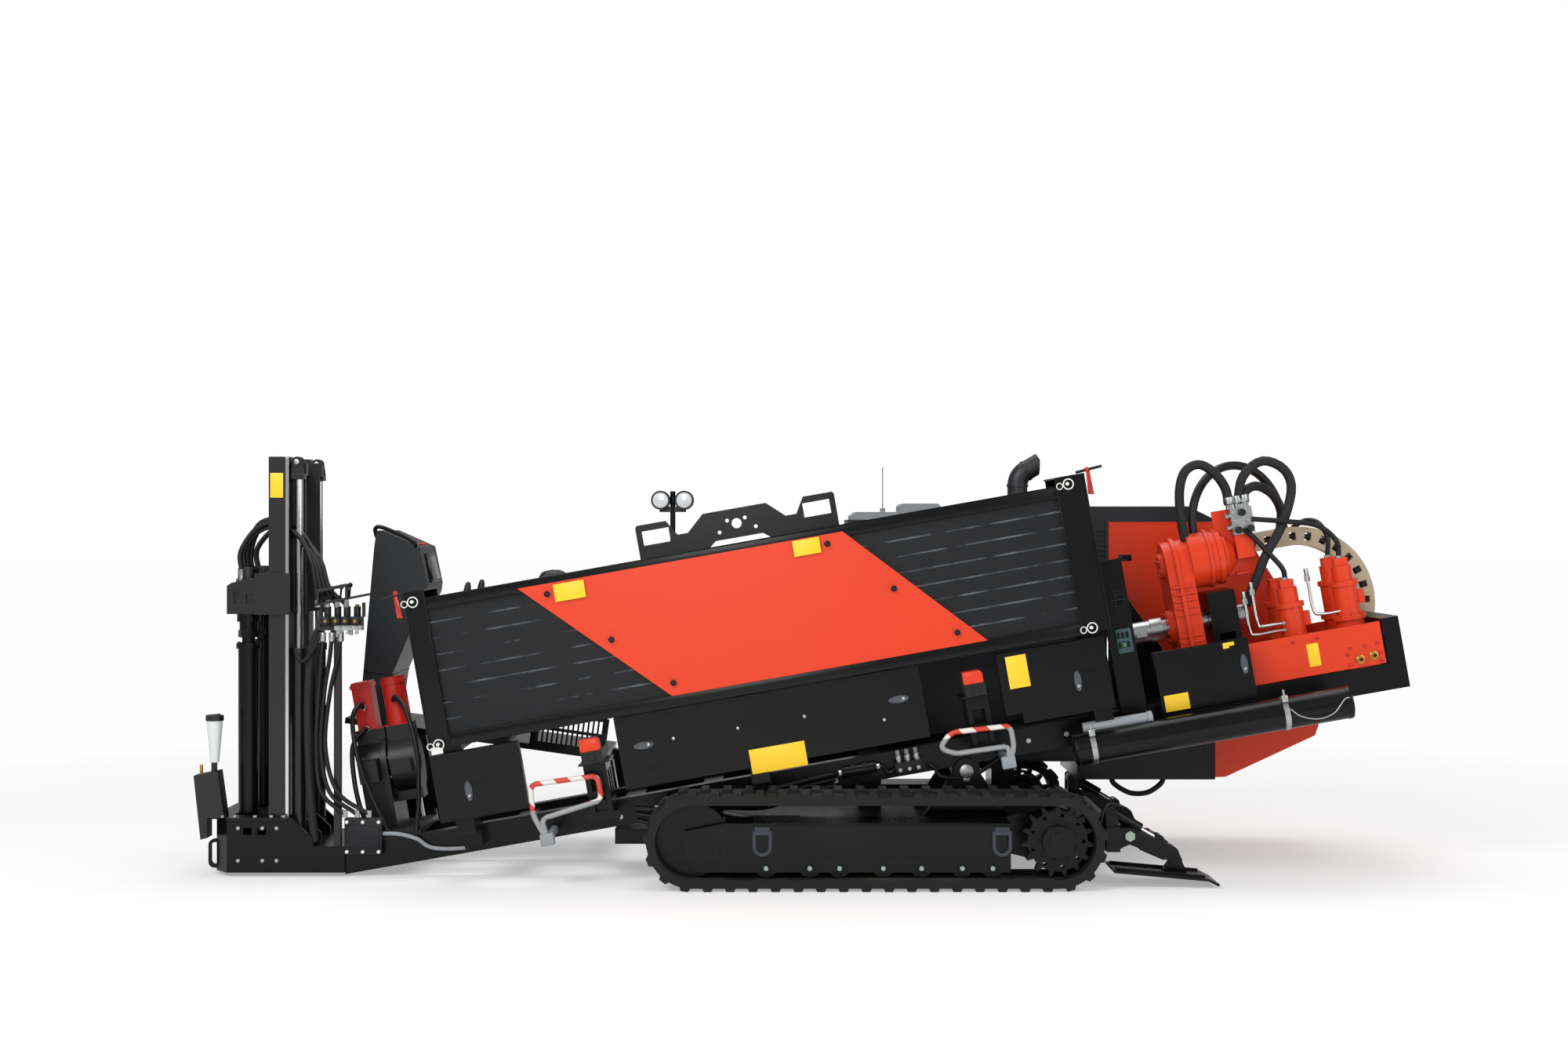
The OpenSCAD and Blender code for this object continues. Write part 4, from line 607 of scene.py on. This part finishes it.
# Rear control post behind the last cover: rocker switches in a teal frame, and a round horn grille.
panel = bmesh.new()
box(panel, (838, -528, 436), (914, -518, 556), 3)
teal = finish("teal switch panel", "#31545a", rough=0.45, dust=0.1)
piece("switch_panel", panel, teal, "drill_frame", FRAME)
rockers = bmesh.new()
for u in (850, 872, 894):
    box(rockers, (u - 7, -534, 510), (u + 7, -526, 540), 2)
    box(rockers, (u - 7, -534, 462), (u + 7, -526, 492), 2)
piece("rocker_switches", rockers, black, "drill_frame", FRAME)
lit = bmesh.new()
box(lit, (865, -536, 466), (879, -533, 488), 1)
green = finish("green switch cap", "#1f9a5a", rough=0.35, dust=0.0)
piece("green_switch", lit, green, "drill_frame", FRAME)
grille = bmesh.new()
for radius in (44, 32, 20):
    ring(grille, radius, 3, Matrix.Translation((865, -526, 700)) @ AT_VIEWER, 36)
box(grille, (818, -529, 697), (912, -523, 703), 1)
box(grille, (862, -529, 654), (868, -523, 746), 1)
piece("horn_grille", grille, casting, "drill_frame", FRAME)

# Pipe shuttle pads of orange urethane, and the grey bent grab loops in front of the shuttles. Their
# upper parts are bound with red and white tape, and clamps hold their feet.
def rounded(corners, radius):
    line = [corners[0]]
    for before, here, after in zip(corners, corners[1:], corners[2:]):
        here = Vector(here)
        a = here + (Vector(before) - here).normalized() * radius
        b = here + (Vector(after) - here).normalized() * radius
        line += [a * (1 - t) ** 2 + here * 2 * t * (1 - t) + b * t * t for t in (0, 0.25, 0.5, 0.75, 1)]
    return line + [corners[-1]]


tape, tree, shader = new_material("red and white tape on grey pipe")
place = add_node(tree, "ShaderNodeTexCoord").outputs["Object"]
axes = add_node(tree, "ShaderNodeSeparateXYZ", None, Vector=place).outputs
stripe_pitch, frame_slope, tape_start = 0.15, 0.176, 0.592
steps = maths(tree, "MULTIPLY", maths(tree, "ADD", axes["X"], axes["Z"]), 1 / stripe_pitch)
steps = maths(tree, "GREATER_THAN", maths(tree, "FRACT", steps), 0.5)
stripes = mix_colours(tree, steps, linear("#d9d7d0"), linear("#c23a2c"))
above = maths(tree, "ADD", axes["Z"], maths(tree, "MULTIPLY", axes["X"], -frame_slope))
taped = maths(tree, "GREATER_THAN", above, tape_start)
stripes = mix_colours(tree, taped, linear("#8e9092"), stripes)
tree.links.new(stripes, shader.inputs["Base Color"])
shader.inputs["Roughness"].default_value = 0.4
for n, (body, u) in enumerate((("shuttle_front", -1830), ("shuttle_rear", 40))):
    pads = bmesh.new()
    corners = [(u + 4, 438), (u + 100, 438), (u + 100, 486), (u + 86, 500), (u + 4, 500)]
    outline(pads, corners, -788, -700, 4)
    piece("shuttle_pad_%d" % (n + 1), pads, orange, body, FRAME)
loops = (([(-2050, 60), (-2096, 190), (-2084, 335), (-1760, 322), (-1760, 205), (-2060, 165), (-2046, 60)],
          -2048, 66),
         ([(190, 40), (226, 110), (226, 214), (-60, 232), (-126, 168), (-60, 128), (204, 120), (186, 40)],
          188, 46))
for n, (corners, foot_u, foot_w) in enumerate(loops):
    line = [(u, -818, w) for u, w in rounded(corners, 34)]
    hose("grab_loop_%d" % (n + 1), line, 13, tape, "drill_frame", FRAME, count=90)
    clamp = bmesh.new()
    rod(clamp, (foot_u, -835, foot_w), (foot_u, -481, foot_w), 21, soft=3)
    box(clamp, (foot_u - 34, -836, foot_w - 32), (foot_u + 34, -796, foot_w + 28), 7)
    piece("grab_clamp_%d" % (n + 1), clamp, pale_grey, "drill_frame", FRAME)

# Screws of the long cover and of the rail, and the valve trio, accumulator and lines below the cover.
heads = bmesh.new()
for u, w in ((-1060, 428), (-736, 428), (-1372, 433), (-362, 346)):
    rod(heads, (u, -800, w), (u, -807, w), 8, soft=2)
piece("cover_screws", heads, zinc, "long_cover", FRAME)
heads = bmesh.new()
for u, w in ((-2416, 130), (-2483, 130), (-1716, 70), (-1533, 84), (-1400, 84), (-640, 60), (330, 90),
             (520, 90)):
    rod(heads, (u, -480, w), (u, -493, w), 13, sides=6)
piece("rail_bolts", heads, zinc, "drill_frame", FRAME)
trio = bmesh.new()
box(trio, (-345, -560, 36), (-205, -481, 96), 4)
piece("trio_block", trio, casting, "drill_frame", FRAME)
coils = bmesh.new()
for u in (-320, -275, -230):
    rod(coils, (u, -522, 95), (u, -522, 132), 17, soft=2)
    rod(coils, (u, -522, 130), (u, -522, 160), 12, sides=6)
    rod(coils, (u, -560, 66), (u, -574, 66), 11, sides=6)
piece("trio_coils", coils, zinc, "drill_frame", FRAME)
tank = bmesh.new()
rod(tank, (-606, -520, 96), (-430, -520, 96), 26, soft=8)
box(tank, (-560, -530, 60), (-530, -481, 126), 3)
box(tank, (-500, -530, 60), (-470, -481, 126), 3)
piece("accumulator", tank, casting, "drill_frame", FRAME)
rings = bmesh.new()
for u in (-612, -424):
    rod(rings, (u - 8, -520, 96), (u + 8, -520, 96), 15, sides=6)
piece("accumulator_nuts", rings, zinc, "drill_frame", FRAME)
for n, (w, drop) in enumerate(((70, 30), (40, 46), (96, 22))):
    points = [(-1640, -492, w), (-1500, -500, w - drop), (-1250, -505, w - 10), (-1000, -505, w - drop),
              (-760, -502, w - 6), (-640, -500, w)]
    hose("rail_hose_%d" % (n + 1), points, 11, hose_rubber, "drill_frame", FRAME, count=60)
points = [(-424, -520, 96), (-400, -524, 92), (-380, -540, 60), (-345, -530, 66)]
hose("rail_hose_4", points, 9, hose_rubber, "drill_frame", FRAME, count=20)
points = [(-180, -500, 60), (-150, -506, 40), (-120, -520, -10), (20, -505, -30), (150, -500, 20),
          (240, -488, 60)]
hose("rail_hose_5", points, 11, hose_rubber, "drill_frame", FRAME)

# Operator's seat: grained vinyl over foam on a moulded pedestal with folds. The cushion and the back are
# separate pads with a raised middle, and each arm rest carries a lever.
vinyl = finish("grained black vinyl", "#121316", rough=0.5, dust=0.15, peel=0.5, grain=600.0)
pedestal = bmesh.new()
box(pedestal, (430, 410, 0.5), (750, 750, 60), 8)
box(pedestal, (470, 450, 58), (710, 710, 250), 20)
for z in (110, 150, 190):
    box(pedestal, (464, 444, z), (716, 716, z + 16), 7)
box(pedestal, (360, 370, 248), (790, 790, 322), 14)
seat_base = piece("seat_base", pedestal, black, "drill_frame", STATION)
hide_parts("operator_seat")
cushion = bmesh.new()
box(cushion, (334, 346, 318), (700, 814, 420), 34)
box(cushion, (352, 404, 372), (694, 756, 430), 24)
piece("seat_cushion", cushion, vinyl, "drill_frame", STATION, 60)
back = bmesh.new()
outline(back, [(706, 432), (828, 432), (904, 872), (884, 908), (824, 908), (792, 890)], 346, 814, 30)
outline(back, [(694, 470), (730, 470), (800, 840), (776, 846)], 410, 750, 12)
piece("seat_back", back, vinyl, "drill_frame", STATION, 60)
arms = bmesh.new()
for y in (292, 818):
    box(arms, (420, y, 590), (740, y + 50, 636), 14)
    rod(arms, (720, y + 25, 600), (790, y + 25, 560), 16, soft=2)
    rod(arms, (440, y + 25, 632), (430, y + 25, 700), 9, soft=1)
    grip = [(2, 0), (20, 4), (22, 40), (17, 78), (12, 96), (2, 102)]
    lathe(arms, grip, Matrix.Translation((430, y + 25, 692)), 24)
piece("seat_arms", arms, vinyl, "drill_frame", STATION)

# Console: black glass screen in a rubber bezel on the face that the operator sees, push buttons, a
# round grab rail over the top, and the split line of the two mouldings.
screen = bmesh.new()
outline(screen, [(219, 756), (224, 758), (170, 908), (165, 906)], 410, 710, 1.5)
piece("screen_bezel", screen, black, "drill_frame", STATION)
glass = bmesh.new()
outline(glass, [(220.5, 774), (225.5, 776), (177, 892), (172, 890)], 430, 690, 1)
black_glass = finish("black screen glass", "#0b0f14", rough=0.06, dust=0.0, peel=0.0)
piece("screen_glass", glass, black_glass, "drill_frame", STATION)
buttons = bmesh.new()
for n in range(6):
    place = Matrix.Translation((120, 430 + n * 48, 948)) @ Matrix.Rotation(radians(16), 4, "Y")
    lathe(buttons, [(0.5, 8), (9, 7), (10, 0)], place, 20)
piece("console_buttons", buttons, red_paint, "drill_frame", STATION)
points = [(-84, 312, 960), (-96, 305, 1004), (-60, 300, 1016), (60, 298, 984), (120, 300, 958),
          (128, 312, 930)]
hose("console_rail", points, 11, black, "drill_frame", STATION)
seams = bmesh.new()
outline(seams, [(-44, 244), (104, 244), (104, 250), (-44, 250)], 297, 823, 1)
piece("console_seam", seams, black, "drill_frame", STATION)

# Work lamps: a clear bright lens in the face of each black housing.
lens = finish("lamp lens", "#e6eaec", rough=0.12, dust=0.0, peel=0.0)
for n, x in enumerate((-739, -615)):
    face = bmesh.new()
    domed = [(0.5, 3), (30, 2), (40, 0), (41, -3)]
    lathe(face, domed, Matrix.Translation((x, 189.5, 1862)) @ AT_VIEWER, 36)
    piece("lamp_lens_%d" % (n + 1), face, lens, "machine")

# Front valve bank: zinc manifold with plugs on a black plate, brass nuts on the coils, and levers with
# black knobs. coil_row holds the coils' places along the bank.
coil_row = (-2339, -2289, -2243, -2193)
finish_nodes(finish("valve bank, black with a zinc manifold", "#0b0c0e", rough=0.4, dust=0.2,
                    patches=[((-2300, -531, 1180), (-2165, -469, 1238), "#b4b6b6", 1.0, 0.35)]),
             "front_valves")
nuts = bmesh.new()
for x in coil_row:
    rod(nuts, (x, -500, 1331), (x, -500, 1342), 10, sides=6)
    rod(nuts, (x, -560, 1262), (x, -568, 1262), 9, sides=6)
piece("coil_nuts", nuts, brass, "drill_frame")
discs = bmesh.new()
for x in coil_row:
    rod(discs, (x, -530, 1262), (x, -561, 1262), 22, soft=3)
    rod(discs, (x, -530, 1262), (x, -545, 1262), 24, sides=8)
piece("coil_discs", discs, casting, "drill_frame")
plugs = bmesh.new()
for x, z in ((-2275, 1205), (-2232, 1205), (-2189, 1205), (-2275, 1225), (-2189, 1228)):
    rod(plugs, (x, -530, z), (x, -543, z), 10, sides=6)
for x in (-2360, -2320, -2280):
    rod(plugs, (x, -505, 1181), (x, -505, 1150), 12, sides=6)
piece("bank_plugs", plugs, zinc, "drill_frame")
levers = bmesh.new()
for x in (-2360, -2316, -2272, -2228):
    foot = 1344 + (x + 2397) * 0.2
    rod(levers, (x, -524, foot), (x + 6, -530, foot + 54), 5)
    knob = [(0.5, -13), (9, -9), (13, 0), (9, 9), (0.5, 13)]
    lathe(levers, knob, Matrix.Translation((x + 6, -530, foot + 60)), 20)
piece("bank_levers", levers, black, "drill_frame")

# Control box and grease pot at the front: clear pot with brass outlet.
finish_nodes(finish("black box with a clear grease pot", "#0b0c0e", rough=0.4, dust=0.2,
                    patches=[((-2952, -495, 559.5), (-2866, -405, 765), "#cfd4d4", 0.0, 0.15),
                             ((-2984, -459, 500.5), (-2966, -441, 547), "#b8924a", 1.0, 0.3)]),
             "anchor_box")

# Manifold beside the deck: dark cast block with white-capped bolts.
cast = bmesh.new()
box(cast, (-2252, -530, 112), (-2066, -481, 292), 5)
box(cast, (-2240, -536, 150), (-2080, -529, 250), 3)
piece("base_manifold", cast, casting, "drill_frame")
caps = bmesh.new()
for x in (-2238, -2160, -2082):
    for z in (128, 274):
        rod(caps, (x, -529, z), (x, -540, z), 9, sides=6)
piece("manifold_bolts", caps, white, "drill_frame")

# Anchor base: flange bolts, and the guard plate's cap screws.
bolts = bmesh.new()
for x in (-2860, -2800, -2700, -2620, -2560):
    for y in (-492, 132):
        rod(bolts, (x, y, 290), (x, y, 302), 11, sides=6)
for x in (-2780, -2660, -2590):
    for z in (80, 240):
        rod(bolts, (x, -499.5, z), (x, -509, z), 10, sides=6)
piece("base_bolts", bolts, zinc, "drill_frame")

# Anchor drives: motor flange bolts, hose unions and bright pins through the yokes.
drives = (("left", -335, -410, ((-2795, -372), (-2783, -352), (-2771, -332), (-2759, -300))),
          ("right", -25, 50, ((-2790, -60), (-2790, -30))))
motor_x, bolt_circle = -2769.8, 55
for side, y, mast, hose_feet in drives:
    fittings = bmesh.new()
    for k in range(6):
        bolt_x, bolt_y = motor_x + bolt_circle * cos(k * pi / 3), y + bolt_circle * sin(k * pi / 3)
        rod(fittings, (bolt_x, bolt_y, 1454), (bolt_x, bolt_y, 1466), 7, sides=6)
    piece("drive_bolts_" + side, fittings, zinc, "anchor_drive_" + side)
    unions = bmesh.new()
    for foot_x, foot_y in hose_feet:
        rod(unions, (foot_x, foot_y, 1440), (foot_x, foot_y, 1486), 13, soft=2)
        rod(unions, (foot_x, foot_y, 1484), (foot_x, foot_y, 1512), 16, sides=6)
    piece("drive_unions_" + side, unions, zinc, "anchor_drive_" + side)
    pin = bmesh.new()
    rod(pin, (-2503.8, mast - 44, 2046), (-2503.8, mast + 44, 2046), 13, soft=2)
    piece("yoke_pin_" + side, pin, zinc, "anchor_drive_" + side)
points = [(-2066, -506, 214), (-1990, -508, 212), (-1901, -510, 190), (-1840, -506, 150),
          (-1760, -500, 138), (-1659, -494, 142)]
hose("base_pipe", points, 10, pale_grey, "drill_frame", count=40)
points = [(-2500, -452, 1090), (-2500, -470, 1090), (-2470, -500, 1060), (-2420, -512, 1100),
          (-2380, -516, 1180), (-2376, -512, 1205)]
hose("cylinder_hose", points, 10, hose_rubber, "drill_frame", count=24)

# Wrenches: the clamp cylinders are bright red over black jaws.
red_jaw = finish("black jaws with red clamp cylinders", "#0b0c0e", rough=0.4, dust=0.25, tilt=True,
                 sheen=0.35, patches=[((-3000, -300, 694.5), (-2690, -60, 1000), "#b9221c", 0.0, 0.27)])
finish_nodes(red_jaw, "vise", "wrench")
spindle_y, spindle_w = -180, 496
bolts = bmesh.new()
for k in range(8):
    a = k * pi / 4 + 0.4
    for u0, u1, radius in ((-2835, -2829.5, 130), (-2981, -2987, 128)):
        y, w = spindle_y + radius * cos(a), spindle_w + radius * sin(a)
        rod(bolts, (u0, y, w), (u1, y, w), 9, sides=6)
piece("vise_bolts", bolts, zinc, "drill_frame", FRAME)
unions = bmesh.new()
for w in (810, 700):
    rod(unions, (-2920, -240, w), (-2920, -264, w), 15, sides=6)
piece("vise_unions", unions, zinc, "drill_frame", FRAME)

# Hoses inside the carrier, seen through the link windows.
bend_u, bend_w, bend = 1888, 485, 347
turns = [k * pi / 8 for k in range(1, 8)]
for n, y in enumerate((92, 120, 148)):
    loop = [(1320, y, 137), (1600, y, 137), (bend_u, y, 138)]
    loop += [(bend_u + bend * sin(a), y, bend_w - bend * cos(a)) for a in turns]
    loop += [(bend_u, y, 832), (1700, y, 832), (1510, y, 832)]
    hose("carrier_hose_%d" % (n + 1), loop, 13, hose_rubber, "carriage", FRAME, count=60)

# Pivot pins and tracks: keeper plates with cap screws, and zinc caps on the roller bolts.
pins = bmesh.new()
rod(pins, (806, -522, 523), (806, -532, 523), 34, soft=2)
box(pins, (790, -530, 470), (822, -522.2, 500), 2)
rod(pins, (-723, -401, 332), (-723, -410, 332), 25, soft=2)
piece("pivot_caps", pins, zinc, "machine")
marked_zinc = finish("zinc bolt with green mark", "#9fb3a4", metallic=0.8, rough=0.35, dust=0.2)
for name, side in (("left", -1), ("right", 1)):
    heads = bmesh.new()
    for x in (-176, 31, 172, 379, 560, 753, 897):
        rod(heads, (x, side * 924.5, 108.3), (x, side * 931, 108.3), 12, sides=6)
    rod(heads, (1569, side * 780, 240), (1569, side * 792, 240), 26, sides=6)
    piece("roller_caps_" + name, heads, marked_zinc, "machine")

# Hood: two black paddle latches, red rear lamps in black rims, and a grab rail on the far side.
red_lens = finish("red lamp lens", "#a8140f", rough=0.1, dust=0.0, peel=0.0)
latches = bmesh.new()
for x, z in ((1700, 1560), (2300, 1240)):
    box(latches, (x - 34, 210, z - 16), (x + 34, 215.5, z + 16), 3)
    rod(latches, (x + 18, 210, z), (x + 18, 206, z), 8, soft=1)
piece("hood_latches", latches, black, "machine")
for y in (330, 820):
    rim = bmesh.new()
    rod(rim, (2742, y, 960), (2752, y, 960), 48, soft=3)
    piece("lamp_rim_%d" % y, rim, black, "machine")
    lamp_face = bmesh.new()
    place = Matrix.Translation((2751, y, 960)) @ Matrix.Rotation(pi / 2, 4, "Y")
    lathe(lamp_face, [(0.5, 12), (26, 9), (38, 0)], place, 32)
    piece("rear_lamp_%d" % y, lamp_face, red_lens, "machine")
points = [(1900, 930, 1500), (1900, 943, 1500), (2000, 944, 1500), (2100, 943, 1500), (2100, 930, 1500)]
hose("hood_rail", points, 10, black, "machine")
